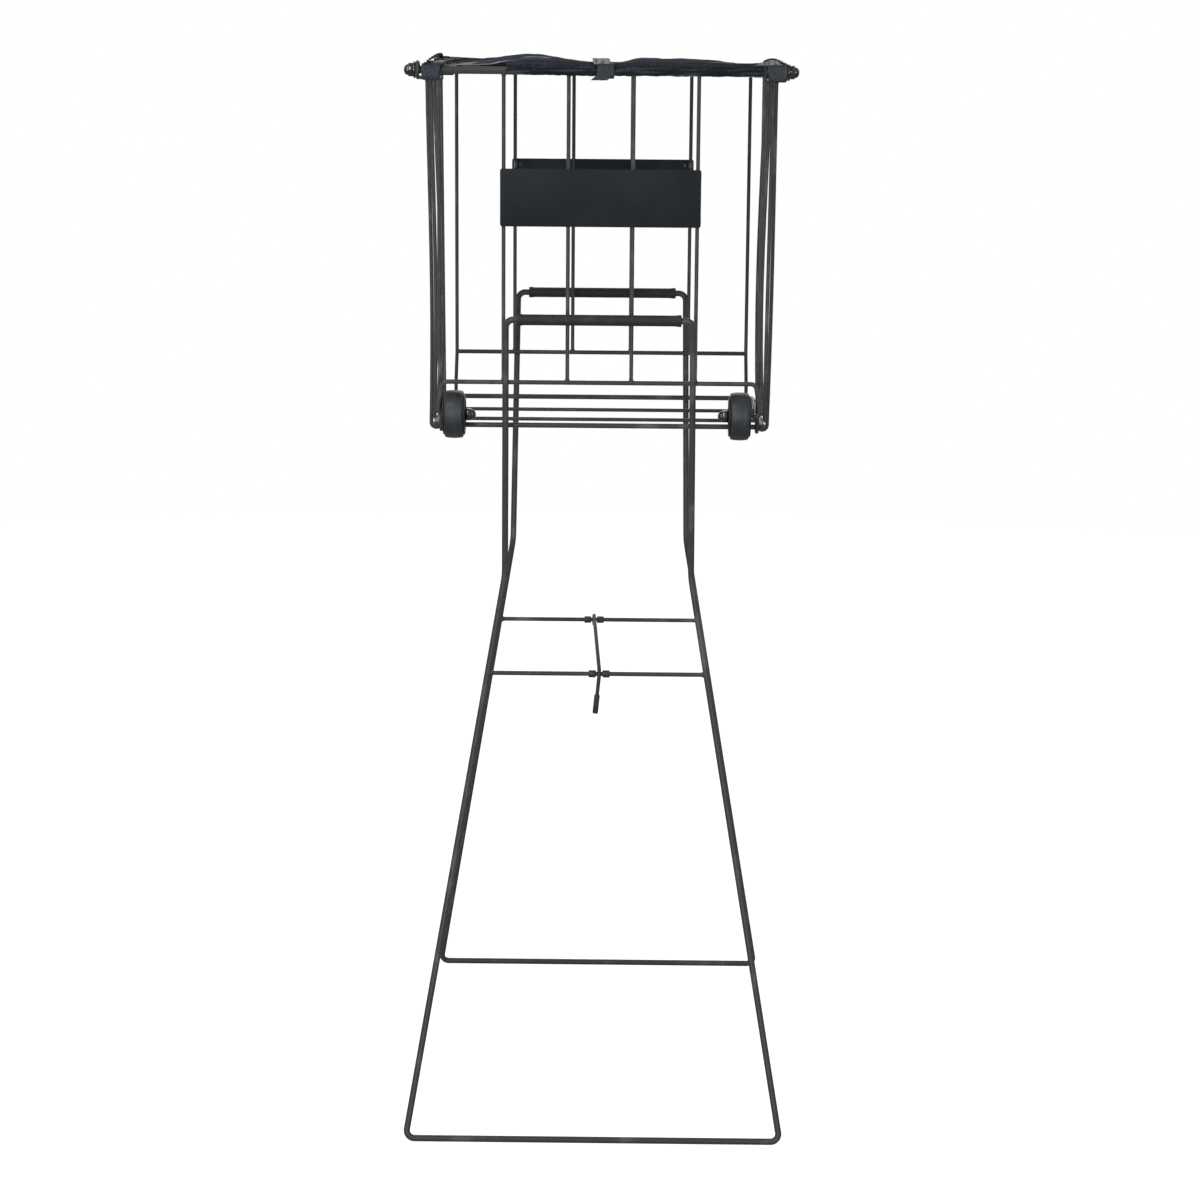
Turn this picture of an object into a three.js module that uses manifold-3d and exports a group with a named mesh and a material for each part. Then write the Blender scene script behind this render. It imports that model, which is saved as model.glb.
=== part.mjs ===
// Tennis ball hopper: a wire basket with a zipped cloth lid, carried on two folding leg loops.
// Millimetres, +Z up. The origin is on the floor, under the middle of the basket. The front is -Y.
import * as THREE from "three";
import { mergeVertices } from "three/addons/utils/BufferGeometryUtils.js";
import Module from "manifold-3d";

const wasm = await Module();
wasm.setup();

// Clearance between pieces that touch or turn on each other, and the depth of a weld
const seatGap = 0.3;
const weldDepth = 0.4;
const mergeReach = 0.001;

// Wire and rod diameters
const legWire = 5;
const crossbarWire = 3.5;
const linkWire = 3;
const ringWire = 4;
const floorBarWire = 3;
const panelWire = 3;
const railWire = 3.5;
const rimRod = 5.8;

// Basket: front and back panels, side panels and floor ring
const basketDepth = 229.2;
const wireSpacing = 49.1;
const panelWireCount = 6;
const rimHeight = 813.5;
const railHeight = 578;
const slantTop = 596;
const ringHeight = 542.3;
const ringInset = 20.1;
const ringOverhang = 4.85;
const ringCorner = 4.5;
const floorBarCount = 2;
const sideWireCount = 5;
const sideWireMargin = 12.5;
const sideReach = 10.95;
const sideRailDrop = 5.7;
const sideRailBend = 8;
const sideRailRun = 12;
const hookRise = 3;
const slantBend = 12;

// Wheel axles, bent from the ends of the front rail
const axleHeight = 553;
const railCornerInset = 2.3;
const axleBendOutset = 1.7;
const railBend = 4.5;
const axleBend = 3.5;
const wheelWidth = 14.4;
const wheelDiameter = 37;
const tyreThickness = 4.6;
const tyreShoulder = 2.4;
const hubFlange = 1.2;
const hubFlangeDiameter = 31.5;
const hubBarrel = 9.5;
const hubRecess = 4;
const hubRimWall = 2.2;
const wheelSideGap = 1.1;
const rightWheelSlide = 3.2;
const axleClearance = 0.15;
const axleNutSize = 9;
const axleNutLength = 4.4;
const axleDome = 3.6;

// Hardware on the ends of the rim rods
const washerDiameter = 12.6;
const washerThickness = 1.5;
const nutSize = 10;
const nutLength = 3.4;
const domeDiameter = 8.2;
const domeLength = 3.6;
const nutWall = 1.6;
const threadLength = 0.3;

// Plates, and the clips that hold them on the panel wires
const plateHeight = 43.5;
const plateSideMargin = 2.6;
const plateThickness = 1.2;
const plateRiseShare = 0.49087;
const plateCorner = 1.6;
const clipMargin = 5;
const clipWidth = 5;
const clipSheet = 0.6;
const clipFoot = 3.4;
const rivetDiameter = 3.2;
const rivetHead = 0.9;

// Leg loops
const footReach = 215.6;
const footHalf = 144.6;
const waistHeight = 421.6;
const waistHalf = 73.5;
const gripHeight = 627.4;
const gripHalf = 71.3;
const upperLean = 12.3;
const footBend = 9;
const waistBend = 22;
const gripBend = 7.5;
const crossbarHeight = 347.5;
const gripDiameter = 8.3;
const gripLength = 125;
const gripLip = 0.6;
const gripLipLength = 3;
const rearGripShift = 0.4;

// Link hook between the crossbars, with its stop sleeves and its tip sleeve
const linkRearX = -4.5;
const linkFrontX = 1.7;
const linkPlay = 1.1;
const stopLength = 5.7;
const stopWall = 0.7;
const linkTail = 30;
const tipLength = 15;
const tipDiameter = 4.9;
const tipOverrun = 1.2;

// Straps of hook-and-loop tape round the rim rods
const strapSheet = 1.6;
const strapWidth = 11.4;
const strapInset = 1.9;
const strapDepth = 10.6;
const strapHeight = 11.6;
const rearStrapHeight = 9.7;
const strapCorner = 3.2;
const middleStrapWidth = 13.7;
const middleStrapX = 2;
const middleStrapDepth = 14;
const middleStrapHeight = 17.2;

// Cloth lid: a sleeve round the front rod, and a flap that a zip joins to a border on three sides
const clothSheet = 1.2;
const sleeveLeft = 72;
const sleeveRight = 122.2;
const sleeveTail = 7.6;
const sleeveSlot = 35;
const sleevePucker = 0.5;
const sleevePuckerStep = 9.7;
const coverStart = 6;
const coverRise = 3;
const leftBillow = 6.2;
const leftBillowX = -54;
const leftBillowOuter = 52;
const leftBillowInner = 31;
const rightBillow = 3.6;
const rightBillowX = 61;
const rightBillowReach = 44;
const flapChamfer = 1.2;
const borderLean = 5.6;
const borderCorner = 14;
const borderEnd = 2;
const borderWave = 0.7;
const borderWaveLength = 37;
const chainWidth = 5.6;
const chainThickness = 1.5;

// Zip slider and its pull
const sliderY = -90;
const sliderLength = 9;
const sliderWidth = 6.6;
const sliderPlate = 1.6;
const bridgeLength = 6.8;
const bridgeWidth = 1.6;
const bridgeSheet = 1.2;
const bridgeRise = 1.9;
const pullLength = 14;
const pullWidth = 4.6;
const pullSheet = 1.1;
const pullSlotWidth = 2.4;
const pullSlotLength = 4.4;
const pullCorner = 1.4;

// Counts of facets
const wireSides = 8;
const legSides = 12;
const roundSides = 16;
const wheelSides = 24;
const bendSteps = 3;

// Sizes that follow
const panelHalf = basketDepth / 2;
const plateMiddle = gripHeight + plateRiseShare * (rimHeight - gripHeight);
const outerWireX = (wireSpacing * (panelWireCount - 1)) / 2;
const ringHalfX = outerWireX + ringOverhang;
const ringHalfY = panelHalf - ringInset;
const hookRadius = (ringWire + panelWire) / 2 + seatGap;
const sideTopX = outerWireX + sideReach;
const sideRailHeight = rimHeight - sideRailDrop;
const strapOuterX = outerWireX + panelWire / 2 + strapInset / 2 + strapWidth;
const eyeX = strapOuterX + seatGap + panelWire / 2;
const washerX = eyeX + panelWire / 2 + seatGap;
const nutX = washerX + washerThickness + seatGap;
const gripSeat = (railWire + legWire) / 2 + seatGap;
const railRunEnd = panelHalf - strapDepth / 2 - sideRailBend / 2;
const railRunStart = railRunEnd - sideRailRun;
const coverBase = rimHeight + coverStart;
const chainInset = borderLean + clothSheet / 2 + seatGap + chainWidth / 2;
const flapHalf = sideTopX - chainInset - chainWidth / 2 - seatGap;
const flapFront = -panelHalf + sleeveTail + seatGap;
const flapRear = panelHalf - chainInset - chainWidth / 2 - seatGap;

const radians = THREE.MathUtils.degToRad;
const across = new THREE.Vector3(1, 0, 0);
const back = new THREE.Vector3(0, 1, 0);
const up = new THREE.Vector3(0, 0, 1);

const hopper = new THREE.Group();

// Finishes, by the piece's stuff
const finishes = {
  wire: { color: 0x1c1e1f, roughness: 0.42, metalness: 0.35 },
  plate: { color: 0x16191b, roughness: 0.5, metalness: 0.3 },
  hardware: { color: 0x141516, roughness: 0.3, metalness: 0.6 },
  rubber: { color: 0x25292b, roughness: 0.75, metalness: 0 },
  moulded: { color: 0x0f1011, roughness: 0.5, metalness: 0 },
  foam: { color: 0x131414, roughness: 0.8, metalness: 0 },
  cloth: { color: 0x1a1d26, roughness: 0.85, metalness: 0 },
  tape: { color: 0x2c2f34, roughness: 0.95, metalness: 0 },
  zip: { color: 0x101113, roughness: 0.45, metalness: 0 },
};

function place(name, geometry, finish) {
  const mesh = new THREE.Mesh(geometry, new THREE.MeshStandardMaterial(finishes[finish]));
  mesh.name = name;
  hopper.add(mesh);
  return mesh;
}

function point(x, y, z) {
  return new THREE.Vector3(x, y, z);
}

// Solids: a geometry's triangles as a closed body, and back
function bodyOf(geometry) {
  const bare = geometry.clone();
  bare.deleteAttribute("normal");
  bare.deleteAttribute("uv");
  const merged = mergeVertices(bare, mergeReach);
  return new wasm.Manifold(
    new wasm.Mesh({
      numProp: 3,
      vertProperties: merged.attributes.position.array,
      triVerts: new Uint32Array(merged.index.array),
    }),
  );
}

function geometryOf(body) {
  const { numProp, vertProperties, triVerts } = body.getMesh();
  const positions = new Float32Array(triVerts.length * 3);
  triVerts.forEach((v, i) => positions.set(vertProperties.subarray(v * numProp, v * numProp + 3), i * 3));
  const geometry = new THREE.BufferGeometry();
  geometry.setAttribute("position", new THREE.BufferAttribute(positions, 3));
  geometry.computeVertexNormals();
  return geometry;
}

function joined(geometries) {
  return geometryOf(geometries.map(bodyOf).reduce((sum, body) => sum.add(body)));
}

function cut(geometry, tools) {
  return geometryOf(tools.map(bodyOf).reduce((rest, body) => rest.subtract(body), bodyOf(geometry)));
}

// A regular outline whose flat sides lie on the circle of the given diameter
function roundSection(diameter, sides) {
  const corner = diameter / 2 / Math.cos(Math.PI / sides);
  const corners = [];
  for (let i = 0; i < sides; i++) {
    const turn = ((i + 0.5) * 2 * Math.PI) / sides;
    corners.push(new THREE.Vector2(corner * Math.cos(turn), corner * Math.sin(turn)));
  }
  return new THREE.Shape(corners);
}

// A wire's centre line through its corners, with an arc of the given radius at each inner one
function bentLine(corners, radii) {
  const line = [{ at: corners[0], along: corners[1].clone().sub(corners[0]).normalize() }];
  for (let i = 1; i < corners.length - 1; i++) {
    const toBefore = corners[i - 1].clone().sub(corners[i]).normalize();
    const toAfter = corners[i + 1].clone().sub(corners[i]).normalize();
    const opening = toBefore.angleTo(toAfter);
    const centre = toBefore.clone().add(toAfter).normalize();
    centre.multiplyScalar(radii[i] / Math.sin(opening / 2)).add(corners[i]);
    const reach = radii[i] / Math.tan(opening / 2);
    const spoke = corners[i].clone().addScaledVector(toBefore, reach).sub(centre);
    const axis = toAfter.clone().cross(toBefore).normalize();
    const turn = Math.PI - opening;
    const steps = Math.max(2, Math.ceil((bendSteps * turn) / (Math.PI / 2)));
    for (let k = 0; k <= steps; k++) {
      const arm = spoke.clone().applyAxisAngle(axis, (turn * k) / steps);
      const along = axis.clone().cross(arm).normalize();
      line.push({ at: arm.add(centre), along });
    }
  }
  const end = corners[corners.length - 1];
  line.push({ at: end, along: end.clone().sub(corners[corners.length - 2]).normalize() });
  return line;
}

// Stations of an arc in the plane of two directions, from one angle to another
function arcLine(centre, radius, first, second, from, to) {
  const line = [];
  const steps = Math.ceil((bendSteps * Math.abs(to - from)) / 90);
  const sense = Math.sign(to - from);
  for (let k = 0; k <= steps; k++) {
    const turn = radians(from + ((to - from) * k) / steps);
    const at = centre.clone().addScaledVector(first, radius * Math.cos(turn));
    at.addScaledVector(second, radius * Math.sin(turn));
    const along = first.clone().multiplyScalar(-sense * Math.sin(turn));
    along.addScaledVector(second, sense * Math.cos(turn));
    line.push({ at, along });
  }
  return line;
}

// A wire's line as a curve that steps from station to station, with one side kept towards a direction
class WireCurve extends THREE.Curve {
  constructor(line, side) {
    super();
    this.line = line;
    this.side = side;
  }

  stationAt(share) {
    return this.line[Math.round(share * (this.line.length - 1))];
  }

  getPoint(share, target = new THREE.Vector3()) {
    return target.copy(this.stationAt(share).at);
  }

  getPointAt(share, target) {
    return this.getPoint(share, target);
  }

  getTangentAt(share, target = new THREE.Vector3()) {
    return target.copy(this.stationAt(share).along);
  }

  computeFrenetFrames() {
    const tangents = this.line.map((station) => station.along);
    const squareTo = (t) => this.side.clone().addScaledVector(t, -this.side.dot(t)).normalize();
    const normals = tangents.map(squareTo);
    const binormals = tangents.map((t, i) => t.clone().cross(normals[i]));
    return { tangents, normals, binormals };
  }
}

function wireAlong(line, diameter, sides, side) {
  return new THREE.ExtrudeGeometry(roundSection(diameter, sides), {
    steps: line.length - 1,
    bevelEnabled: false,
    extrudePath: new WireCurve(line, side),
  });
}

// A closed loop of wire: its line ends where it starts, so only the faces round the wire are kept
function loopAlong(line, diameter, sides, side) {
  const open = wireAlong(line, diameter, sides, side);
  const round = open.groups.find((group) => group.materialIndex === 1);
  const positions = open.attributes.position.array.slice(round.start * 3, (round.start + round.count) * 3);
  const geometry = new THREE.BufferGeometry();
  geometry.setAttribute("position", new THREE.BufferAttribute(positions, 3));
  geometry.computeVertexNormals();
  return geometry;
}

function straightWire(from, to, diameter, sides, side) {
  return wireAlong(bentLine([from, to], []), diameter, sides, side);
}

// A turned piece with its axis along X, from an outline of radius and place along the axis
function turnedAlongX(outline, sides, x, y, z) {
  const profile = outline.map(([radius, along]) => new THREE.Vector2(radius, along));
  const geometry = new THREE.LatheGeometry(profile, sides);
  geometry.rotateZ(-Math.PI / 2);
  geometry.translate(x, y, z);
  return geometry;
}

function discOutline(radius, from, to) {
  return [
    [0, from],
    [radius, from],
    [radius, to],
    [0, to],
  ];
}

function tubeOutline(inner, outer, from, to) {
  return [
    [inner, from],
    [outer, from],
    [outer, to],
    [inner, to],
    [inner, from],
  ];
}

// A closed body through rings of matching points, with its two ends closed by the faces given
function ringBody(rings, endFaces) {
  const count = rings[0].length;
  const positions = rings.flat().flatMap((p) => [p.x, p.y, p.z]);
  const faces = [];
  for (let r = 0; r < rings.length - 1; r++) {
    for (let i = 0; i < count; i++) {
      const a = r * count + i;
      const b = r * count + ((i + 1) % count);
      faces.push(a, b, b + count, a, b + count, a + count);
    }
  }
  const last = (rings.length - 1) * count;
  endFaces.forEach(([a, b, c]) => faces.push(c, b, a, last + a, last + b, last + c));
  const indexed = new THREE.BufferGeometry();
  indexed.setAttribute("position", new THREE.Float32BufferAttribute(positions, 3));
  indexed.setIndex(faces);
  const geometry = indexed.toNonIndexed();
  geometry.computeVertexNormals();
  return geometry;
}

// A sheet of even thickness through rows of points, thickened to both sides along a direction
function sheetBody(rows, thickness) {
  const columns = rows[0].length;
  const rings = rows.map((row) => {
    const near = row.map(({ at, out }) => at.clone().addScaledVector(out, thickness / 2));
    const far = row.map(({ at, out }) => at.clone().addScaledVector(out, -thickness / 2));
    return [...near, ...far.reverse()];
  });
  const endFaces = [];
  for (let c = 0; c < columns - 1; c++) {
    const opposite = 2 * columns - 1 - c;
    endFaces.push([c, c + 1, opposite - 1], [c, opposite - 1, opposite]);
  }
  return ringBody(rings, endFaces);
}

function panelWireX(index) {
  return (index - (panelWireCount - 1) / 2) * wireSpacing;
}

// Front and back panels: a threaded rim rod, upright wires and a bottom rail, all welded.
// The outer wires slant in below the rail and hook under the floor ring.
function outerPanelWire(x, face, slantHeight) {
  const y = face * panelHalf;
  const hookY = face * (ringHalfY + hookRadius);
  const inward = point(0, face, 0);
  const top = point(x, y, rimHeight - weldDepth);
  const hookCentre = point(x, face * ringHalfY, ringHeight);
  const bend = [top, point(x, y, slantHeight), point(x, hookY, ringHeight + slantBend)];
  const straight = bentLine([...bend, point(x, hookY, ringHeight)], [0, slantBend, slantBend, 0]);
  const hook = arcLine(hookCentre, hookRadius, inward, up, 0, -180);
  const tipAt = point(x, face * (ringHalfY - hookRadius), ringHeight + hookRise);
  const line = [...straight.slice(0, -1), ...hook, { at: tipAt, along: up.clone() }];
  return wireAlong(line, panelWire, wireSides, across);
}

function rimRodOf(face) {
  const end = nutX + nutLength + threadLength;
  return straightWire(
    point(-end, face * panelHalf, rimHeight),
    point(end, face * panelHalf, rimHeight),
    rimRod,
    legSides,
    back,
  );
}

function innerPanelWires(face) {
  const wires = [];
  for (let i = 1; i < panelWireCount - 1; i++) {
    const x = panelWireX(i);
    const top = point(x, face * panelHalf, rimHeight - weldDepth);
    wires.push(straightWire(point(x, face * panelHalf, railHeight), top, panelWire, wireSides, across));
  }
  return wires;
}

function wheelSlide(side) {
  return side > 0 ? rightWheelSlide : 0;
}

function wheelOuterX(side) {
  const wireX = outerWireX + axleBendOutset - axleBend;
  return wireX - wheelSideGap - wheelSlide(side);
}

function axleEndX(side) {
  return wheelOuterX(side) - wheelWidth - 2 * hubFlange - seatGap - axleNutLength;
}

function makeFrontPanel() {
  const y = -panelHalf;
  const cornerX = outerWireX - railCornerInset;
  const bendX = outerWireX + axleBendOutset;
  const corners = [
    point(-axleEndX(-1), y, axleHeight),
    point(-bendX, y, axleHeight),
    point(-cornerX, y, railHeight),
    point(cornerX, y, railHeight),
    point(bendX, y, axleHeight),
    point(axleEndX(1), y, axleHeight),
  ];
  const rail = wireAlong(
    bentLine(corners, [0, axleBend, railBend, railBend, axleBend, 0]),
    railWire,
    wireSides,
    back,
  );
  const outer = [-outerWireX, outerWireX].map((x) => outerPanelWire(x, -1, slantTop));
  place("front_panel", joined([rimRodOf(-1), ...innerPanelWires(-1), rail, ...outer]), "wire");
}

function makeBackPanel() {
  const rail = straightWire(
    point(-outerWireX, panelHalf, railHeight),
    point(outerWireX, panelHalf, railHeight),
    railWire,
    wireSides,
    back,
  );
  const outer = [-outerWireX, outerWireX].map((x) => outerPanelWire(x, 1, railHeight));
  place("back_panel", joined([rimRodOf(1), ...innerPanelWires(1), rail, ...outer]), "wire");
}

// Side panels: a top rail with an eye round each rim rod, and wires that hook under the floor ring
function makeSidePanel(name, side) {
  const bottomX = ringHalfX + hookRadius;
  const outward = point(side, 0, 0);
  const eyeFoot = rimHeight - sideRailDrop;
  const railCorners = [
    point(side * eyeX, -panelHalf, eyeFoot),
    point(side * eyeX, -railRunEnd, eyeFoot),
    point(side * sideTopX, -railRunStart, eyeFoot),
    point(side * sideTopX, railRunStart, eyeFoot),
    point(side * eyeX, railRunEnd, eyeFoot),
    point(side * eyeX, panelHalf, eyeFoot),
  ];
  const railRadii = [0, sideRailBend, sideRailBend, sideRailBend, sideRailBend, 0];
  const pieces = [wireAlong(bentLine(railCorners, railRadii), panelWire, wireSides, up)];
  for (const face of [-1, 1]) {
    const centre = point(side * eyeX, face * panelHalf, rimHeight);
    pieces.push(loopAlong(arcLine(centre, sideRailDrop, back, up, 0, 360), panelWire, wireSides, across));
  }
  for (let i = 0; i < sideWireCount; i++) {
    const y = -ringHalfY + sideWireMargin + (i * 2 * (ringHalfY - sideWireMargin)) / (sideWireCount - 1);
    const hook = arcLine(point(side * ringHalfX, y, ringHeight), hookRadius, outward, up, 0, -180);
    const tipAt = point(side * (ringHalfX - hookRadius), y, ringHeight + hookRise);
    const top = point(side * sideTopX, y, sideRailHeight);
    const fall = point(side * bottomX, y, ringHeight).sub(top).normalize();
    const line = [{ at: top, along: fall }, ...hook, { at: tipAt, along: up.clone() }];
    pieces.push(wireAlong(line, panelWire, wireSides, back));
  }
  place(name, joined(pieces), "wire");
}

// Floor: a closed ring with bars welded under its sides. The balls squeeze in between the bars.
function makeFloor() {
  const corners = [
    point(0, -ringHalfY, ringHeight),
    point(ringHalfX, -ringHalfY, ringHeight),
    point(ringHalfX, ringHalfY, ringHeight),
    point(-ringHalfX, ringHalfY, ringHeight),
    point(-ringHalfX, -ringHalfY, ringHeight),
    point(0, -ringHalfY, ringHeight),
  ];
  const radii = [0, ringCorner, ringCorner, ringCorner, ringCorner, 0];
  const pieces = [loopAlong(bentLine(corners, radii), ringWire, wireSides, up)];
  const barHeight = ringHeight - (ringWire + floorBarWire) / 2 + weldDepth;
  const barHalf = ringHalfX + ringWire / 4;
  for (let i = 1; i <= floorBarCount; i++) {
    const y = -ringHalfY + (i * 2 * ringHalfY) / (floorBarCount + 1);
    const from = point(-barHalf, y, barHeight);
    pieces.push(straightWire(from, point(barHalf, y, barHeight), floorBarWire, wireSides, up));
  }
  place("floor_ring", joined(pieces), "wire");
}

// Hexagonal nut with a domed end, its axis along X and its bore open towards the middle
function domedNut(size, length, domeWidth, dome, bore, boreDepth) {
  const hexCorner = size / 2 / Math.cos(Math.PI / 6);
  const chamfer = (hexCorner - size / 2) / 2;
  const hexOutline = [
    [0, 0],
    [hexCorner, 0],
    [hexCorner, length - chamfer],
    [hexCorner - chamfer, length],
    [0, length],
  ];
  const domeOutline = [[0, length - weldDepth]];
  for (let i = 0; i <= 4; i++) {
    const turn = (i * Math.PI) / 8;
    domeOutline.push([(domeWidth / 2) * Math.cos(turn), length + dome * Math.sin(turn)]);
  }
  domeOutline.splice(1, 0, [domeWidth / 2, length - weldDepth]);
  domeOutline[domeOutline.length - 1][0] = 0;
  const hex = turnedAlongX(hexOutline, 6, 0, 0, 0);
  const cap = turnedAlongX(domeOutline, roundSides, 0, 0, 0);
  const hole = turnedAlongX(discOutline(bore / 2, -length, boreDepth), roundSides, 0, 0, 0);
  return cut(joined([hex, cap]), [hole]);
}

function makeRimHardware() {
  for (const [faceName, face] of [["front", -1], ["rear", 1]]) {
    for (const [sideName, side] of [["left", -1], ["right", 1]]) {
      const bore = rimRod / Math.cos(Math.PI / legSides) + 2 * seatGap;
      const washer = turnedAlongX(
        tubeOutline(bore / 2, washerDiameter / 2, 0, washerThickness),
        roundSides,
        washerX,
        0,
        0,
      );
      const depth = nutLength + threadLength + seatGap;
      const nut = domedNut(nutSize, nutLength, domeDiameter, domeLength, bore, depth);
      nut.translate(nutX, 0, 0);
      for (const [kind, geometry] of [["rim_washer", washer], ["cap_nut", nut]]) {
        if (side < 0) geometry.rotateZ(Math.PI);
        geometry.translate(0, face * panelHalf, rimHeight);
        place([kind, faceName, sideName].join("_"), geometry, "hardware");
      }
    }
  }
}

// Wheels: a rubber tyre on a moulded hub that turns on the bent end of the front rail
function makeWheels() {
  const bore = railWire / 2 / Math.cos(Math.PI / wireSides) + axleClearance;
  const tyreOuter = wheelDiameter / 2;
  const tyreInner = tyreOuter - tyreThickness;
  const seat = tyreInner - seatGap;
  const half = wheelWidth / 2;
  const full = half + hubFlange;
  const recess = full - hubRecess;
  const tyre = [[tyreInner, -half], [tyreOuter - tyreShoulder, -half]];
  for (let i = 1; i <= 2; i++) {
    const turn = (i * Math.PI) / 4;
    tyre.push([
      tyreOuter - tyreShoulder * (1 - Math.sin(turn)),
      -half + tyreShoulder * (1 - Math.cos(turn)),
    ]);
  }
  const mirrored = tyre.slice(1).reverse().map(([radius, along]) => [radius, -along]);
  tyre.push(...mirrored, [tyreInner, half], [tyreInner, -half]);
  const flange = hubFlangeDiameter / 2;
  const barrel = hubBarrel / 2;
  const rim = seat - hubRimWall;
  const hub = [
    [bore, -full],
    [barrel, -full],
    [barrel, -recess],
    [rim, -recess],
    [rim, -full],
    [flange, -full],
    [flange, -half - seatGap],
    [seat, -half - seatGap],
    [seat, half + seatGap],
    [flange, half + seatGap],
    [flange, full],
    [rim, full],
    [rim, recess],
    [barrel, recess],
    [barrel, full],
    [bore, full],
    [bore, -full],
  ];
  for (const [sideName, side] of [["left", -1], ["right", 1]]) {
    const x = side * (wheelOuterX(side) - full);
    place("wheel_tyre_" + sideName, turnedAlongX(tyre, wheelSides, x, -panelHalf, axleHeight), "rubber");
    place("wheel_hub_" + sideName, turnedAlongX(hub, wheelSides, x, -panelHalf, axleHeight), "moulded");
    const depth = axleNutLength + seatGap;
    const nut = domedNut(axleNutSize, axleNutLength, axleNutSize - nutWall, axleDome, 2 * bore, depth);
    nut.translate(-(wheelOuterX(side) - 2 * full - seatGap), 0, 0);
    if (side < 0) nut.rotateZ(Math.PI);
    nut.rotateZ(Math.PI);
    nut.translate(0, -panelHalf, axleHeight);
    place("axle_nut_" + sideName, nut, "hardware");
  }
}

// Plates across the middle wires of the front and back panels, outside the basket
function makePlates() {
  const half = 1.5 * wireSpacing + plateSideMargin;
  const rise = plateHeight / 2;
  const outline = new THREE.Shape();
  outline.moveTo(-half + plateCorner, -rise);
  outline.lineTo(half - plateCorner, -rise);
  outline.absarc(half - plateCorner, -rise + plateCorner, plateCorner, -Math.PI / 2, 0);
  outline.absarc(half - plateCorner, rise - plateCorner, plateCorner, 0, Math.PI / 2);
  outline.absarc(-half + plateCorner, rise - plateCorner, plateCorner, Math.PI / 2, Math.PI);
  outline.absarc(-half + plateCorner, -rise + plateCorner, plateCorner, Math.PI, 1.5 * Math.PI);
  const inner = panelHalf + panelWire / 2 + seatGap;
  for (const [faceName, face] of [["front", -1], ["rear", 1]]) {
    const plate = new THREE.ExtrudeGeometry(outline, {
      depth: plateThickness,
      bevelEnabled: false,
      curveSegments: 3,
    });
    plate.rotateX(Math.PI / 2);
    plate.translate(0, -inner, plateMiddle);
    if (face > 0) plate.rotateZ(Math.PI);
    place(faceName + "_plate", plate, "plate");
  }
}

// Clips that hold the plates: each bridges a panel wire and is riveted to the plate beside it
function makeClips() {
  const bridge = panelWire / 2 / Math.cos(Math.PI / wireSides) + seatGap;
  const outer = bridge + clipSheet;
  const foot = -panelWire / 2;
  const outline = new THREE.Shape();
  outline.moveTo(-outer - clipFoot, foot);
  outline.lineTo(-bridge, foot);
  outline.lineTo(-bridge, 0);
  outline.absarc(0, 0, bridge, Math.PI, 0, true);
  outline.lineTo(bridge, foot);
  outline.lineTo(outer, foot);
  outline.lineTo(outer, 0);
  outline.absarc(0, 0, outer, 0, Math.PI, false);
  outline.lineTo(-outer, foot + clipSheet);
  outline.lineTo(-outer - clipFoot, foot + clipSheet);
  const wireX = 1.5 * wireSpacing;
  const spread = plateHeight / 2 - clipMargin;
  for (const [faceName, face] of [["front", -1], ["rear", 1]]) {
    for (const [sideName, side] of [["left", -1], ["right", 1]]) {
      for (const [levelName, level] of [["lower", -1], ["upper", 1]]) {
        const strip = new THREE.ExtrudeGeometry(outline, {
          depth: clipWidth,
          bevelEnabled: false,
          curveSegments: 6,
        });
        strip.translate(0, 0, -clipWidth / 2);
        const head = turnedAlongX(discOutline(rivetDiameter / 2, 0, rivetHead + clipSheet / 2), 10, 0, 0, 0);
        head.rotateZ(Math.PI / 2);
        head.translate(-outer - clipFoot / 2, foot + clipSheet / 2, 0);
        const clip = joined([strip, head]);
        if (side < 0) clip.rotateY(Math.PI);
        if (face > 0) clip.rotateX(Math.PI);
        clip.translate(side * wireX, face * panelHalf, plateMiddle + level * spread);
        place(["plate_clip", faceName, sideName, levelName].join("_"), clip, "hardware");
      }
    }
  }
}

// Leg loops: one closed wire each. The short upper end stands outside the basket with its grip,
// the long lower end spreads to the foot, and a crossbar is welded between the lower uprights.
const leanSlope = Math.tan(radians(upperLean));
const standOff = gripSeat / Math.cos(radians(upperLean));
const waistY = panelHalf + standOff - (railHeight - waistHeight) * leanSlope;
const gripY = panelHalf + standOff + (gripHeight - railHeight) * leanSlope;
const footHeight = legWire / 2;
const crossbarShare = (waistHeight - crossbarHeight) / (waistHeight - footHeight);
const crossbarY = THREE.MathUtils.lerp(waistY, footReach, crossbarShare);
const crossbarHalf = THREE.MathUtils.lerp(waistHalf, footHalf, crossbarShare);

function makeLegLoop(name, face) {
  const corners = [
    point(0, face * gripY, gripHeight),
    point(gripHalf, face * gripY, gripHeight),
    point(waistHalf, face * waistY, waistHeight),
    point(footHalf, face * footReach, footHeight),
    point(-footHalf, face * footReach, footHeight),
    point(-waistHalf, face * waistY, waistHeight),
    point(-gripHalf, face * gripY, gripHeight),
    point(0, face * gripY, gripHeight),
  ];
  const radii = [0, gripBend, waistBend, footBend, footBend, waistBend, gripBend, 0];
  const loop = loopAlong(bentLine(corners, radii), legWire, legSides, back);
  const bar = straightWire(
    point(-crossbarHalf, face * crossbarY, crossbarHeight),
    point(crossbarHalf, face * crossbarY, crossbarHeight),
    crossbarWire,
    wireSides,
    back,
  );
  place(name, joined([loop, bar]), "wire");
}

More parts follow.
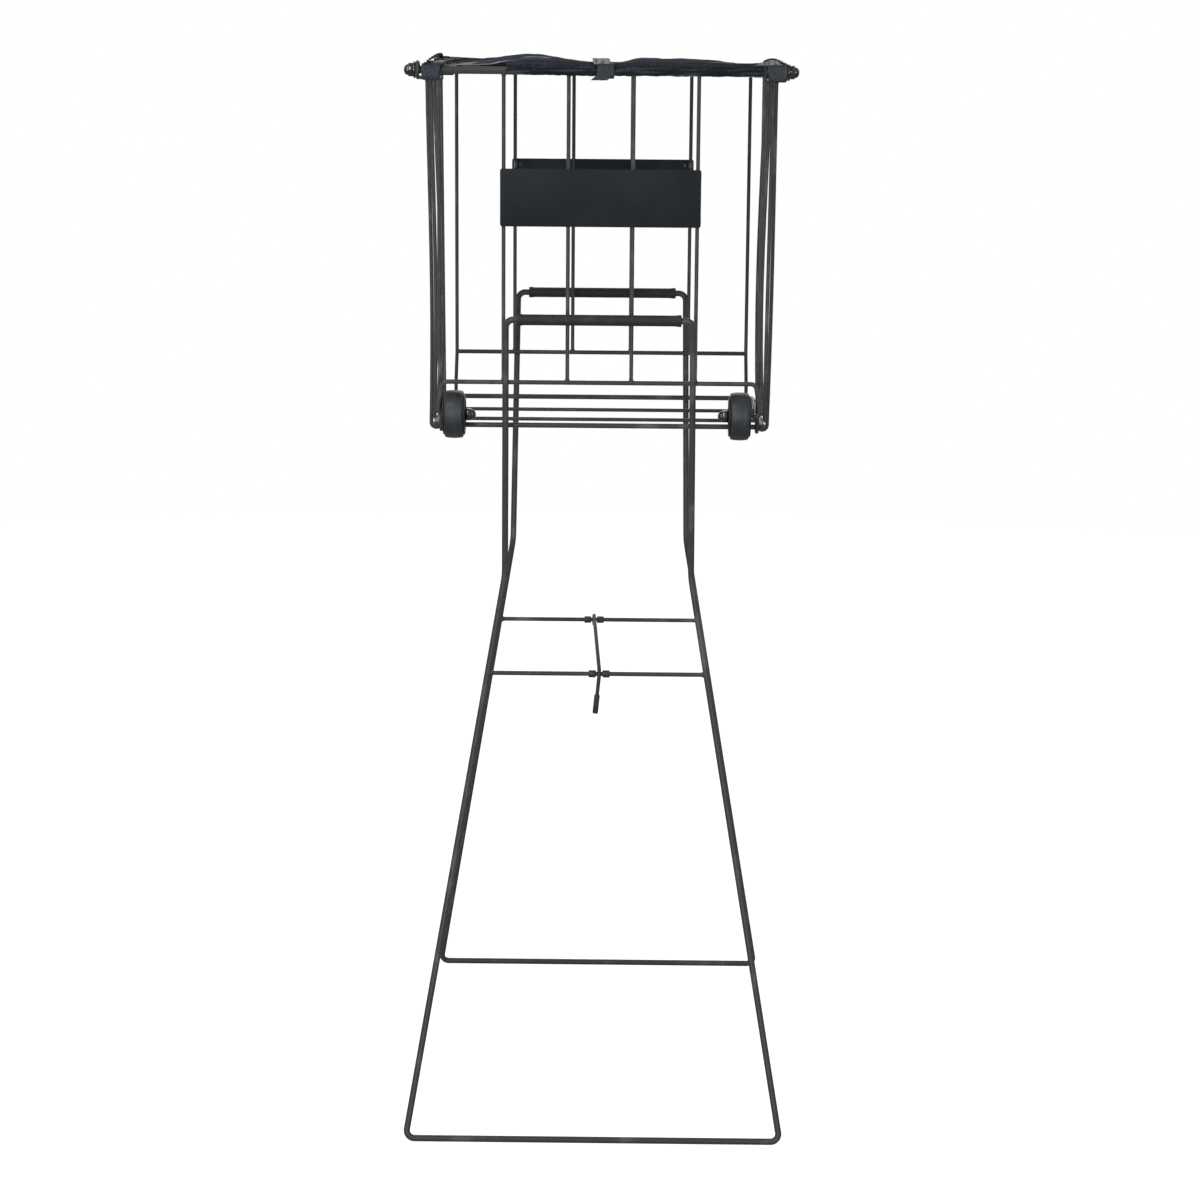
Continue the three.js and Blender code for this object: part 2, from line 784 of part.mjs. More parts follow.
function makeGrip(name, face, shift) {
  const bore = legWire / 2 / Math.cos(Math.PI / legSides) + seatGap;
  const body = gripDiameter / 2;
  const half = gripLength / 2;
  const outline = [
    [bore, -half],
    [body + gripLip, -half],
    [body + gripLip, -half + gripLipLength],
    [body, -half + 1.5 * gripLipLength],
    [body, half - 1.5 * gripLipLength],
    [body + gripLip, half - gripLipLength],
    [body + gripLip, half],
    [bore, half],
    [bore, -half],
  ];
  place(name, turnedAlongX(outline, roundSides, shift, face * gripY, gripHeight), "foam");
}

// Stop sleeves on each crossbar, one on either side of the link
function makeStops() {
  const bore = crossbarWire / 2 / Math.cos(Math.PI / wireSides) + seatGap;
  const outline = tubeOutline(bore, bore + stopWall, 0, stopLength);
  const spots = [
    ["front", -1, linkFrontX],
    ["rear", 1, linkRearX],
  ];
  for (const [faceName, face, linkX] of spots) {
    const reach = linkWire / 2 + linkPlay;
    const starts = { left: linkX - reach - stopLength, right: linkX + reach };
    for (const sideName of ["left", "right"]) {
      const sleeve = turnedAlongX(outline, roundSides, starts[sideName], face * crossbarY, crossbarHeight);
      place(["link_stop", faceName, sideName].join("_"), sleeve, "moulded");
    }
  }
}

// Link: an eye round the rear crossbar, a straight run over the front one, and a tail with a tip
function makeLink() {
  const ride = (crossbarWire / Math.cos(Math.PI / wireSides) + linkWire) / 2 + seatGap;
  const skew = point(linkFrontX - linkRearX, -2 * crossbarY, 0).normalize();
  const forward = skew.clone().negate();
  const eye = arcLine(point(linkRearX, crossbarY, crossbarHeight), ride, forward, up, -110, 90);
  const hookCentre = point(linkFrontX, -crossbarY, crossbarHeight);
  const hook = arcLine(hookCentre, ride, forward, up, 90, 180);
  const tailEnd = hook[hook.length - 1].at.clone().addScaledVector(up, -linkTail);
  const line = [...eye, ...hook, { at: tailEnd, along: up.clone().negate() }];
  place("link_hook", wireAlong(line, linkWire, wireSides, across), "wire");
  const bore = linkWire / 2 / Math.cos(Math.PI / wireSides) + seatGap;
  const outer = tipDiameter / 2;
  const outline = [
    [0, -tipOverrun],
    [outer - seatGap, -tipOverrun],
    [outer, -tipOverrun + seatGap],
    [outer, tipLength - tipOverrun],
    [bore, tipLength - tipOverrun],
    [bore, -seatGap],
    [0, -seatGap],
  ];
  const tip = turnedAlongX(outline, roundSides, 0, 0, 0);
  tip.rotateY(-Math.PI / 2);
  tip.translate(tailEnd.x, tailEnd.y, tailEnd.z);
  place("link_tip", tip, "moulded");
}

// A band of tape with rounded corners round a rim rod, its width along X
function strapBand(depth, height, width) {
  const bandOutline = (halfDepth, halfHeight, corner) => {
    const shape = new THREE.Shape();
    shape.absarc(halfDepth - corner, halfHeight - corner, corner, 0, Math.PI / 2);
    shape.absarc(-halfDepth + corner, halfHeight - corner, corner, Math.PI / 2, Math.PI);
    shape.absarc(-halfDepth + corner, -halfHeight + corner, corner, Math.PI, 1.5 * Math.PI);
    shape.absarc(halfDepth - corner, -halfHeight + corner, corner, 1.5 * Math.PI, 2 * Math.PI);
    return shape;
  };
  const outline = bandOutline(depth / 2, height / 2, strapCorner);
  outline.holes.push(bandOutline(depth / 2 - strapSheet, height / 2 - strapSheet, strapCorner - strapSheet));
  const band = new THREE.ExtrudeGeometry(outline, { depth: width, bevelEnabled: false, curveSegments: 3 });
  band.translate(0, 0, -width / 2);
  band.rotateX(Math.PI / 2);
  band.rotateZ(Math.PI / 2);
  return band;
}

function makeStraps() {
  const cornerX = strapOuterX - strapWidth / 2;
  const bandTop = rimHeight + rimRod / 2 + seatGap + strapSheet;
  for (const [faceName, face, height] of [["front", -1, strapHeight], ["rear", 1, rearStrapHeight]]) {
    for (const [sideName, side] of [["left", -1], ["right", 1]]) {
      const band = strapBand(strapDepth, height, strapWidth);
      band.translate(side * cornerX, face * panelHalf, bandTop - height / 2);
      place(["rim_strap", faceName, sideName].join("_"), band, "tape");
    }
  }
  const front = strapBand(middleStrapDepth, middleStrapHeight, middleStrapWidth);
  front.translate(middleStrapX, -panelHalf, rimHeight + seatGap);
  place("rim_strap_front_middle", front, "tape");
  const rear = strapBand(strapDepth, rearStrapHeight, middleStrapWidth);
  rear.translate(middleStrapX, panelHalf, bandTop - rearStrapHeight / 2);
  place("rim_strap_rear_middle", rear, "tape");
}

// Lid sleeve: cloth wrapped round the front rod, open below for the panel wires, with a tail
// towards the flap. It is notched where the middle strap passes round it.
function sleeveSection(pucker) {
  const arcSteps = { front: 5, rear: 4, inner: 10 };
  const slotFrom = 270 - sleeveSlot;
  const slotTo = -90 + sleeveSlot;
  const chord = Math.cos(radians((slotFrom - slotTo) / arcSteps.inner / 2));
  const inner = (rimRod / 2 / Math.cos(Math.PI / legSides) + seatGap) / chord + pucker;
  const outer = inner + clothSheet;
  const tailFoot = THREE.MathUtils.radToDeg(Math.asin(inner / outer));
  const points = [];
  const sweep = (radius, from, to, steps) => {
    for (let i = 0; i <= steps; i++) {
      const turn = radians(from + ((to - from) * i) / steps);
      points.push(new THREE.Vector2(radius * Math.cos(turn), radius * Math.sin(turn)));
    }
  };
  sweep(outer, slotFrom, 90, arcSteps.front);
  points.push(new THREE.Vector2(sleeveTail, outer - pucker), new THREE.Vector2(sleeveTail, inner - pucker));
  sweep(outer, tailFoot, slotTo, arcSteps.rear);
  sweep(inner, slotTo, slotFrom, arcSteps.inner);
  return points.reverse();
}

function makeSleeve() {
  const steps = Math.round((sleeveLeft + sleeveRight) / sleevePuckerStep);
  const rings = [];
  for (let i = 0; i <= steps; i++) {
    const x = THREE.MathUtils.lerp(-sleeveLeft, sleeveRight, i / steps);
    const pucker = i % 2 === 1 ? sleevePucker * Math.abs(Math.cos(x / sleevePuckerStep)) : 0;
    rings.push(sleeveSection(pucker).map((p) => point(x, p.x - panelHalf, p.y + rimHeight)));
  }
  const body = ringBody(rings, THREE.ShapeUtils.triangulateShape(sleeveSection(0), []));
  const notchWidth = middleStrapWidth + 2 * seatGap;
  const notchDepth = 2 * sleeveTail;
  const notch = new THREE.BoxGeometry(notchWidth, notchDepth, middleStrapHeight);
  const notchStart = -panelHalf + middleStrapDepth / 2 - strapSheet - seatGap;
  notch.translate(middleStrapX, notchStart + notchDepth / 2, rimHeight);
  place("lid_sleeve", cut(body, [notch]), "cloth");
}

// Height of the lid's edges: level at the front, and rising along the sides to the rear corners
function coverHeight(x, y) {
  const backShare = (Math.min(y, flapRear) - flapFront) / (flapRear - flapFront);
  const sideShare = Math.min(1, Math.abs(x) / flapHalf);
  return coverBase + coverRise * backShare * sideShare * sideShare;
}

// Slack cloth stands up in a steep fold on the left and a broad one on the right
function billowHeight(x, y) {
  const leftReach = x < leftBillowX ? leftBillowOuter : leftBillowInner;
  const leftFold = leftBillow * Math.exp(-Math.pow((x - leftBillowX) / leftReach, 2));
  const rightFold = rightBillow * Math.exp(-Math.pow((x - rightBillowX) / rightBillowReach, 6));
  const share = (y - flapFront) / (flapRear - flapFront);
  const edgeShare = 1 - Math.pow(Math.min(1, Math.abs(x) / flapHalf), 4);
  return (leftFold + rightFold) * edgeShare * Math.sin(Math.PI * share);
}

function makeFlap() {
  const columns = 24;
  const rowsAcross = 12;
  const stops = [];
  for (let r = 0; r < rowsAcross; r++) {
    const y = THREE.MathUtils.lerp(flapFront, flapRear - flapChamfer, r / (rowsAcross - 1));
    stops.push({ y, half: flapHalf });
  }
  stops.push({ y: flapRear, half: flapHalf - flapChamfer });
  const rows = stops.map(({ y, half }) => {
    const row = [];
    for (let c = 0; c <= columns; c++) {
      const x = THREE.MathUtils.lerp(-half, half, c / columns);
      row.push({ at: point(x, y, coverHeight(x, y) + billowHeight(x, y)), out: up });
    }
    return row;
  });
  place("lid_flap", sheetBody(rows, clothSheet), "cloth");
}

// Places along the rim that the border and the zip follow: left side, rear, right side
function rimStations() {
  const stations = [];
  const cornerY = panelHalf - borderCorner;
  const cornerX = sideTopX - borderCorner;
  const sideStops = [-panelHalf + borderEnd, -railRunStart - sideRailRun / 2, -railRunStart];
  const sideSteps = 8;
  for (let i = 1; i < sideSteps; i++) {
    sideStops.push(-railRunStart + (i * 2 * railRunStart) / sideSteps);
  }
  sideStops.push(railRunStart);
  sideStops.forEach((y) => stations.push({ x: -sideTopX, y, inward: point(1, 0, 0) }));
  for (let k = 0; k <= bendSteps; k++) {
    const turn = Math.PI - (k * Math.PI) / 2 / bendSteps;
    const outward = point(Math.cos(turn), Math.sin(turn), 0);
    const x = -cornerX + borderCorner * outward.x;
    stations.push({ x, y: cornerY + borderCorner * outward.y, inward: outward.negate() });
  }
  const rearSteps = 8;
  for (let i = 1; i <= rearSteps / 2; i++) {
    const x = THREE.MathUtils.lerp(-cornerX, 0, (2 * i) / rearSteps);
    stations.push({ x, y: panelHalf, inward: point(0, -1, 0) });
  }
  const leftHalf = stations.slice(0, -1);
  const mirrored = leftHalf.map(({ x, y, inward }) => ({ x: -x, y, inward: point(-inward.x, inward.y, 0) }));
  return [...stations, ...mirrored.reverse()];
}

function makeBorder() {
  const strapTop = rimHeight + rimRod / 2 + strapSheet + 2 * seatGap;
  const railTop = sideRailHeight + panelWire / 2 / Math.cos(Math.PI / wireSides) + seatGap;
  const rows = rimStations().map(({ x, y, inward }, i) => {
    const top = coverHeight(x, y) + chainThickness / 2;
    const onRail = Math.abs(y) <= railRunStart + mergeReach;
    const foot = Math.min(onRail ? railTop : strapTop, top - clothSheet);
    const wave = borderWave * Math.sin((2 * Math.PI * (x + y)) / borderWaveLength);
    return [0, 0.5, 1].map((share) => {
      const inset = borderLean * share + wave * Math.sin(Math.PI * share);
      const at = point(x, y, THREE.MathUtils.lerp(foot, top, share)).addScaledVector(inward, inset);
      return { at, out: inward.clone().negate() };
    });
  });
  place("lid_border", sheetBody(rows, clothSheet), "cloth");
}

function makeZipChain() {
  const rows = rimStations().map(({ x, y, inward }) => {
    const height = coverHeight(x, y);
    return [chainInset - chainWidth / 2, chainInset + chainWidth / 2].map((inset) => {
      return { at: point(x, y, height).addScaledVector(inward, inset), out: up };
    });
  });
  place("zip_chain", sheetBody(rows, chainThickness), "zip");
}

// Zip slider on the chain's left run, and its pull lying forward from the slider's bridge
function makeZipSlider() {
  const chainX = -sideTopX + chainInset;
  const slope = Math.atan(coverRise / (flapRear - flapFront));
  const settle = (geometry) => {
    geometry.translate(0, 0, chainThickness / 2 + seatGap);
    geometry.rotateX(slope);
    geometry.translate(chainX, sliderY, coverHeight(chainX, sliderY));
    return geometry;
  };
  const plate = new THREE.BoxGeometry(sliderWidth, sliderLength, sliderPlate);
  plate.translate(0, 0, sliderPlate / 2);
  const archHeight = bridgeRise + bridgeSheet;
  const arch = new THREE.BoxGeometry(bridgeWidth, bridgeLength, archHeight + weldDepth);
  arch.translate(0, 0, sliderPlate + (archHeight - weldDepth) / 2);
  const window = new THREE.BoxGeometry(2 * bridgeWidth, bridgeLength - 2 * bridgeSheet, bridgeRise);
  window.translate(0, 0, sliderPlate + bridgeRise / 2);
  place("zip_slider", settle(cut(joined([plate, arch]), [window])), "hardware");
  const shape = new THREE.Shape();
  const half = pullWidth / 2;
  shape.moveTo(-half, pullSheet / 2);
  shape.lineTo(-half, -pullLength + pullCorner);
  shape.absarc(-half + pullCorner, -pullLength + pullCorner, pullCorner, Math.PI, 1.5 * Math.PI);
  shape.absarc(half - pullCorner, -pullLength + pullCorner, pullCorner, 1.5 * Math.PI, 2 * Math.PI);
  shape.lineTo(half, pullSheet / 2);
  const slot = new THREE.Path();
  slot.moveTo(-pullSlotWidth / 2, -pullSheet / 2);
  slot.lineTo(pullSlotWidth / 2, -pullSheet / 2);
  slot.lineTo(pullSlotWidth / 2, -pullSheet / 2 - pullSlotLength);
  slot.lineTo(-pullSlotWidth / 2, -pullSheet / 2 - pullSlotLength);
  shape.holes.push(slot);
  const pull = new THREE.ExtrudeGeometry(shape, { depth: pullSheet, bevelEnabled: false, curveSegments: 4 });
  pull.translate(0, 0, sliderPlate + seatGap);
  place("zip_pull", settle(pull), "hardware");
}

makeFrontPanel();
makeBackPanel();
makeSidePanel("side_panel_left", -1);
makeSidePanel("side_panel_right", 1);
makeFloor();
makeRimHardware();
makeWheels();
makePlates();
makeClips();
makeLegLoop("front_leg_loop", -1);
makeLegLoop("rear_leg_loop", 1);
makeGrip("front_grip", -1, 0);
makeGrip("rear_grip", 1, rearGripShift);
makeStops();
makeLink();
makeStraps();
makeSleeve();
makeFlap();
makeBorder();
makeZipChain();
makeZipSlider();

export default hopper;
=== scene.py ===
import math
import bpy
import bmesh
from mathutils import Matrix, Quaternion, Vector, noise


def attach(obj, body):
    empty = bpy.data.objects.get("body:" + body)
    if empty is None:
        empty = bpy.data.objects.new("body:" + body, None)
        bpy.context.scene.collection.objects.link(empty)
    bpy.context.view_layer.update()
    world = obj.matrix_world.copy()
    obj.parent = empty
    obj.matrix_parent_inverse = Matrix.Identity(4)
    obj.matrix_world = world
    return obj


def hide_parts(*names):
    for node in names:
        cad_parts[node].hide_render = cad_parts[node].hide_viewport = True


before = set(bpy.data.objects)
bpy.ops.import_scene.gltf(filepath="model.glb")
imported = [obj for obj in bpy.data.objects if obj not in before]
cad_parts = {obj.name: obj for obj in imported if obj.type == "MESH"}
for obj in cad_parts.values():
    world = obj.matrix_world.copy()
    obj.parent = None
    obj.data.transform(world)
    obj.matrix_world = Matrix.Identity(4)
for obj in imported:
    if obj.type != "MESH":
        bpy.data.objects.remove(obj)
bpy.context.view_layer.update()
print("frame loaded with", len(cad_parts), "nodes")

mm = 0.001
across = Vector((1, 0, 0))
backward = Vector((0, 1, 0))
upward = Vector((0, 0, 1))


def at(x, y, z):
    return Vector((x, y, z)) * mm


def mix(first, second, share):
    return first + (second - first) * share


def within(share):
    return min(1, max(0, share))


def hump(away, reach):  # 1 at its middle, falling off smoothly
    return math.exp(-(away / reach) ** 2)


# The camera stands level with the lid and looks down a little, as in the photograph
shot = {"lens": 82.8, "sensor": 36, "place": at(16, -2230, 818), "turn": 0.38, "pitch": 10.97, "roll": 0.45}

cameraData = bpy.data.cameras.new("shot_camera")
cameraData.lens = shot["lens"]
cameraData.sensor_width = shot["sensor"]
camera = bpy.data.objects.new("shot_camera", cameraData)
bpy.context.scene.collection.objects.link(camera)
turn = Matrix.Rotation(math.radians(shot["turn"]), 4, "Z")
tilt = Matrix.Rotation(math.radians(90 - shot["pitch"]), 4, "X")
roll = Matrix.Rotation(math.radians(shot["roll"]), 4, "Z")
camera.matrix_world = Matrix.Translation(shot["place"]) @ turn @ tilt @ roll
bpy.context.scene.camera = camera


# Finishes

class Tap:  # a node's socket that can be calculated with
    def __init__(self, finish, socket):
        self.finish = finish
        self.socket = socket

    def maths(self, operation, first, second):
        return self.finish.node("Math", {"operation": operation}, {0: first, 1: second})

    def __add__(self, other):
        return self.maths("ADD", self, other)

    def __radd__(self, other):
        return self.maths("ADD", other, self)

    def __sub__(self, other):
        return self.maths("SUBTRACT", self, other)

    def __rsub__(self, other):
        return self.maths("SUBTRACT", other, self)

    def __mul__(self, other):
        return self.maths("MULTIPLY", self, other)

    def __rmul__(self, other):
        return self.maths("MULTIPLY", other, self)


class Finish:  # a material, its shader, and the nodes that feed it
    def __init__(self, name, **fixed):
        self.material = bpy.data.materials.new(name)
        self.material.use_nodes = True
        self.tree = self.material.node_tree
        self.shader = self.tree.nodes["Principled BSDF"]
        for key, value in fixed.items():
            self.shader.inputs[key.replace("_", " ")].default_value = value

    def node(self, kind, settings=None, sockets=None, output=0):
        made = self.tree.nodes.new("ShaderNode" + kind)
        for key, value in (settings or {}).items():
            setattr(made, key, value)
        for key, value in (sockets or {}).items():
            self.feed(made.inputs[key], value)
        return Tap(self, made.outputs[output])

    def feed(self, socket, value):
        if isinstance(value, Tap):
            self.tree.links.new(value.socket, socket)
        else:
            socket.default_value = value

    def spots(self):  # places on the piece, in metres
        return self.node("TexCoord", output="Object")

    def cut(self):  # places on the flat cloth, in metres
        return self.node("UVMap", {"uv_map": "cut"})

    def grain(self, scale, detail=2.0, where=None):
        where = where or self.spots()
        return self.node("TexNoise", {}, {"Vector": where, "Scale": scale, "Detail": detail})

    def ramp(self, value, low, high):
        return self.node("MapRange", {"interpolation_type": "SMOOTHSTEP"}, {0: value, 1: low, 2: high})

    def patches(self, scale, detail, low, high):
        return self.ramp(self.grain(scale, detail), low, high)

    def between(self, mask, first, second):
        return self.node("Mix", {"data_type": "RGBA"}, {0: mask, 6: first, 7: second}, 2)

    def colour(self, value):
        self.feed(self.shader.inputs["Base Color"], value)

    def rough(self, value):
        self.feed(self.shader.inputs["Roughness"], value)

    def unevenRough(self, least, spread, scale, detail):
        self.rough(least + spread * self.grain(scale, detail))

    def bumps(self, height, depth):
        bump = self.node("Bump", {}, {"Height": height, "Distance": depth, "Strength": 1.0})
        self.feed(self.shader.inputs["Normal"], bump)


def paint(red, green, blue):  # a colour from its 0 to 255 values
    def straight(value):
        share = value / 255
        return share / 12.92 if share <= 0.04045 else ((share + 0.055) / 1.055) ** 2.4
    return (straight(red), straight(green), straight(blue), 1)


# A plain finish has a base colour with patches of another. Its patches are a grain's scale and detail and
# the low and high of a ramp, its rough the least, the spread and a grain, its peel a grain and a depth in mm
wireLook = {"base": (58, 59, 59), "other": (90, 92, 92), "patches": (35, 3, 0.52, 0.78),
            "rough": (0.2, 0.12, 260, 3), "peel": (900, 2, 0.005)}  # a satin powder coat
plateLook = {"base": (20, 25, 28), "other": (28, 33, 37), "patches": (18, 3, 0.4, 0.75),
             "rough": (0.42, 0.14, 120, 4), "peel": (1400, 2, 0.04)}
hardwareLook = {"base": (13, 13, 14), "other": (44, 45, 46), "patches": (700, 4, 0.56, 0.72),
                "rough": (0.08, 0.12, 420, 3), "peel": (1600, 2, 0.015)}
tyreLook = {"base": (31, 35, 38), "other": (48, 52, 54), "patches": (140, 4, 0.45, 0.8),
            "rough": (0.34, 0.2, 300, 3), "peel": (1800, 3, 0.05)}
gripLook = {"base": (26, 27, 27), "other": (44, 45, 45), "patches": (90, 4, 0.45, 0.8),
            "rough": (0.6, 0.25, 2400, 3), "peel": (2400, 3, 0.12)}
mouldedLook = {"patches": (220, 3, 0.4, 0.8), "rough": (0.36, 0.2, 340, 2), "peel": (2200, 2, 0.03)}
moulded = {"shine": 0.25, "lighter": 1.5}


def makePlain(name, shine, look):
    plain = Finish(name, Specular_IOR_Level=shine)
    patches = plain.patches(*look["patches"])
    plain.colour(plain.between(patches, paint(*look["base"]), paint(*look["other"])))
    plain.unevenRough(*look["rough"])
    scale, detail, depth = look["peel"]
    plain.bumps(plain.grain(scale, detail), depth * mm)
    return plain.material


def makeMoulded(name, shade):
    light = [value * moulded["lighter"] for value in shade]
    return makePlain(name, moulded["shine"], {**mouldedLook, "base": shade, "other": light})


def weave(finish, pitch):  # threads over and under, as a height from 0 to 1
    split = finish.node("SeparateXYZ", {}, {"Vector": finish.cut()})
    along = Tap(finish, split.socket.node.outputs[0])
    over = Tap(finish, split.socket.node.outputs[1])
    turn = 2 * math.pi / pitch
    warp = finish.node("Math", {"operation": "SINE"}, {0: along * turn})
    weft = finish.node("Math", {"operation": "SINE"}, {0: over * turn})
    return 0.5 + 0.25 * warp * weft + 0.25 * finish.node("Math", {"operation": "ABSOLUTE"}, {0: warp})


def makeLidCloth():
    look = {
        # shaded is a painted shade colour for cloth the light misses, crest a painted highlight colour for
        # the tops of folds
        "shaded": paint(28, 31, 36),
        "cloth": paint(65, 69, 75),
        "wearAndHighlight": paint(84, 88, 94),
        "crest": paint(158, 161, 165),
        "pitch": 0.55 * mm,
        "depth": 0.02 * mm,
        "creases": 0.9 * mm,
        "crinkle": (150, 4),
        "wear": (60, 5, 0.46, 0.8),
        "rough": (0.6, 0.2, 90, 3),
        "shadedTo": 0.26,  # up to here in the painted light value the cloth gets painted shade
        "crestFrom": 0.36,
        "crestTo": 0.95,
        "uneven": 0.24,
        "unevenGrain": (420, 3),
    }
    cloth = Finish("lid_cloth", Specular_IOR_Level=0.0)
    threads = weave(cloth, look["pitch"])
    wearAndHighlight = cloth.patches(*look["wear"])
    worn = cloth.between(wearAndHighlight * threads, look["cloth"], look["wearAndHighlight"])
    # the crest attribute is painted light: 0 gives painted shade, near 0.26 the plain cloth, towards 1 a
    # painted highlight
    crest = cloth.node("Attribute", {"attribute_name": "crest"}, output="Fac")
    paintedLightWithNoise = crest + look["uneven"] * (cloth.grain(*look["unevenGrain"]) - 0.5)
    base = cloth.between(cloth.ramp(paintedLightWithNoise, 0.0, look["shadedTo"]), look["shaded"], worn)
    cloth.colour(cloth.between(cloth.ramp(paintedLightWithNoise, look["crestFrom"], look["crestTo"]), base, look["crest"]))
    cloth.unevenRough(*look["rough"])
    crinkle = cloth.grain(*look["crinkle"])
    cloth.bumps(threads * (look["depth"] / look["creases"]) + crinkle, look["creases"])
    return cloth.material


def makeStrapTape():
    look = {
        "tape": paint(44, 47, 51),
        "fuzz": paint(84, 88, 93),
        "hooksAndSheen": paint(128, 126, 131),
        "pitch": 0.9 * mm,
        "depth": 0.35 * mm,
        "hooksAndSheenFrom": 818.6 * mm,
        "hooksAndSheenTo": 819.4 * mm,
        "hooksAndSheenPatches": (420, 3, 0.3, 0.52),
        "pile": (2600, 4),
        "pileLow": 0.42,
        "pileHigh": 0.72,
        "pileShare": 0.6,  # of the height, the rest is the weave
        "rough": 0.85,
        "roughSpread": 0.1,
    }
    tape = Finish("strap_tape", Specular_IOR_Level=0.05)
    fuzz = tape.grain(*look["pile"])
    rows = weave(tape, look["pitch"])
    height = Tap(tape, tape.node("SeparateXYZ", {}, {"Vector": tape.spots()}).socket.node.outputs["Z"])
    loops = tape.between(tape.ramp(fuzz, look["pileLow"], look["pileHigh"]), look["tape"], look["fuzz"])
    # above the rim the hook side shows lighter: partly its own colour, partly a painted sheen where it faces
    # up
    loose = tape.ramp(height, look["hooksAndSheenFrom"], look["hooksAndSheenTo"]) * tape.patches(*look["hooksAndSheenPatches"])
    tape.colour(tape.between(loose, loops, look["hooksAndSheen"]))
    tape.rough(look["rough"] + look["roughSpread"] * fuzz)
    tape.bumps(fuzz * look["pileShare"] + rows * (1 - look["pileShare"]), look["depth"])
    return tape.material


coatedWire = makePlain("coated_wire", 0.1, wireLook)
dullWire = makePlain("dull_wire", 0.003, wireLook)  # the link lies along the view, where a shine turns white
plateCoat = makePlain("plate_coat", 0.08, plateLook)
blackHardware = makePlain("black_hardware", 0.5, hardwareLook)
tyreRubber = makePlain("tyre_rubber", 0.26, tyreLook)
gripFoam = makePlain("grip_foam", 0.3, gripLook)
hubPlastic = makeMoulded("hub_plastic", (20, 21, 22))
sleeveVinyl = makeMoulded("sleeve_vinyl", (30, 30, 29))
zipNylon = makeMoulded("zip_nylon", (17, 18, 20))
lidCloth = makeLidCloth()
strapTape = makeStrapTape()
print("finishes mixed")


# Tools of the bench

def clearBench():
    if bpy.context.mode != "OBJECT":
        bpy.ops.object.mode_set(mode="OBJECT")
    bpy.ops.object.select_all(action="DESELECT")


def take(*pieces):  # selects these pieces, and works on the first
    clearBench()
    for piece in pieces:
        piece.select_set(True)
    bpy.context.view_layer.objects.active = pieces[0]
    return pieces[0]


def edit(piece, kind="FACE"):  # opens a piece with nothing picked
    take(piece)
    bpy.ops.object.mode_set(mode="EDIT")
    bpy.ops.mesh.select_mode(type=kind)
    bpy.ops.mesh.select_all(action="DESELECT")
    return bmesh.from_edit_mesh(piece.data)


def done(piece):
    bmesh.update_edit_mesh(piece.data)


def modify(piece, kind, **settings):
    take(piece)
    made = piece.modifiers.new(kind.lower(), kind)
    for key, value in settings.items():
        setattr(made, key, value)
    bpy.ops.object.modifier_apply(modifier=made.name)


def roundEdges(piece, width, segments=2, sharpest=30):
    modify(piece, "BEVEL", width=width, segments=segments, limit_method="ANGLE",
           angle_limit=math.radians(sharpest), use_clamp_overlap=True)


def smooth(piece, sharpest=35):
    take(piece)
    bpy.ops.object.shade_smooth_by_angle(angle=math.radians(sharpest))


def join(name, *pieces):
    take(*pieces)
    bpy.ops.object.join()
    made = bpy.context.view_layer.objects.active
    made.name = name
    return made


def seat(piece, body, node, finish):  # fixes a piece's place, and hands it to its body
    take(piece)
    bpy.ops.object.transform_apply(location=True, rotation=True, scale=True)
    piece.data.materials.clear()
    piece.data.materials.append(finish)
    piece.data.polygons.foreach_set("material_index", [0] * len(piece.data.polygons))
    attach(piece, body)
    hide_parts(node)


def fromMesh(name, places, edges, faces):
    mesh = bpy.data.meshes.new(name)
    mesh.from_pydata(places, edges, faces)
    made = bpy.data.objects.new(name, mesh)
    bpy.context.scene.collection.objects.link(made)
    return made


def runs(places):  # how far along a line each of its places is
    along = [0.0]
    for before, after in zip(places, places[1:]):
        along.append(along[-1] + (after - before).length)
    return along


def gridPiece(name, rows, thick, levels=1):  # a sheet through rows of places, with its flat cut as a UV map
    columns = len(rows[0])
    faces = []
    for r in range(len(rows) - 1):
        for a in range(r * columns, (r + 1) * columns - 1):
            faces.append((a, a + 1, a + columns + 1, a + columns))
    made = fromMesh(name, [place for row in rows for place in row], [], faces)
    down = runs([row[columns // 2] for row in rows])
    over = runs(rows[len(rows) // 2])
    cut = made.data.uv_layers.new(name="cut")
    for loop in made.data.loops:
        row, column = divmod(loop.vertex_index, columns)
        cut.data[loop.index].uv = (over[column], down[row])
    if thick:
        thicken(made, thick, levels)
    return made


def thicken(piece, thick, levels=1):
    modify(piece, "SOLIDIFY", thickness=thick * mm, offset=0)
    if levels:
        modify(piece, "SUBSURF", levels=levels, render_levels=levels)
    smooth(piece, 60)


# Wires: centre lines with their radius, swept as curves and made meshes

def cornerArc(before, here, after, radius):  # the middle, axis, turn and first spoke of a rounded corner
    toBefore = (before - here).normalized()
    toAfter = (after - here).normalized()
    opening = toBefore.angle(toAfter)
    middle = (toBefore + toAfter).normalized() * (radius / math.sin(opening / 2))
    spoke = toBefore * (radius / math.tan(opening / 2)) - middle
    return here + middle, toAfter.cross(toBefore).normalized(), math.pi - opening, spoke


arcStep = {"bend": 9, "ring": 10}  # degrees between a wire's places


def bendLine(corners, radii):
    line = [corners[0]]
    for i in range(1, len(corners) - 1):
        centre, axis, turn, spoke = cornerArc(*corners[i - 1:i + 2], radii[i] * mm)
        count = max(2, math.ceil(math.degrees(turn) / arcStep["bend"]))
        line += [centre + Quaternion(axis, turn * k / count) @ spoke for k in range(count + 1)]
    return line + [corners[-1]]


def arcLine(centre, radius, first, second, start, end):
    count = max(3, math.ceil(abs(end - start) / arcStep["ring"]))
    turns = [math.radians(mix(start, end, k / count)) for k in range(count + 1)]
    return [centre + (first * math.cos(t) + second * math.sin(t)) * radius * mm for t in turns]


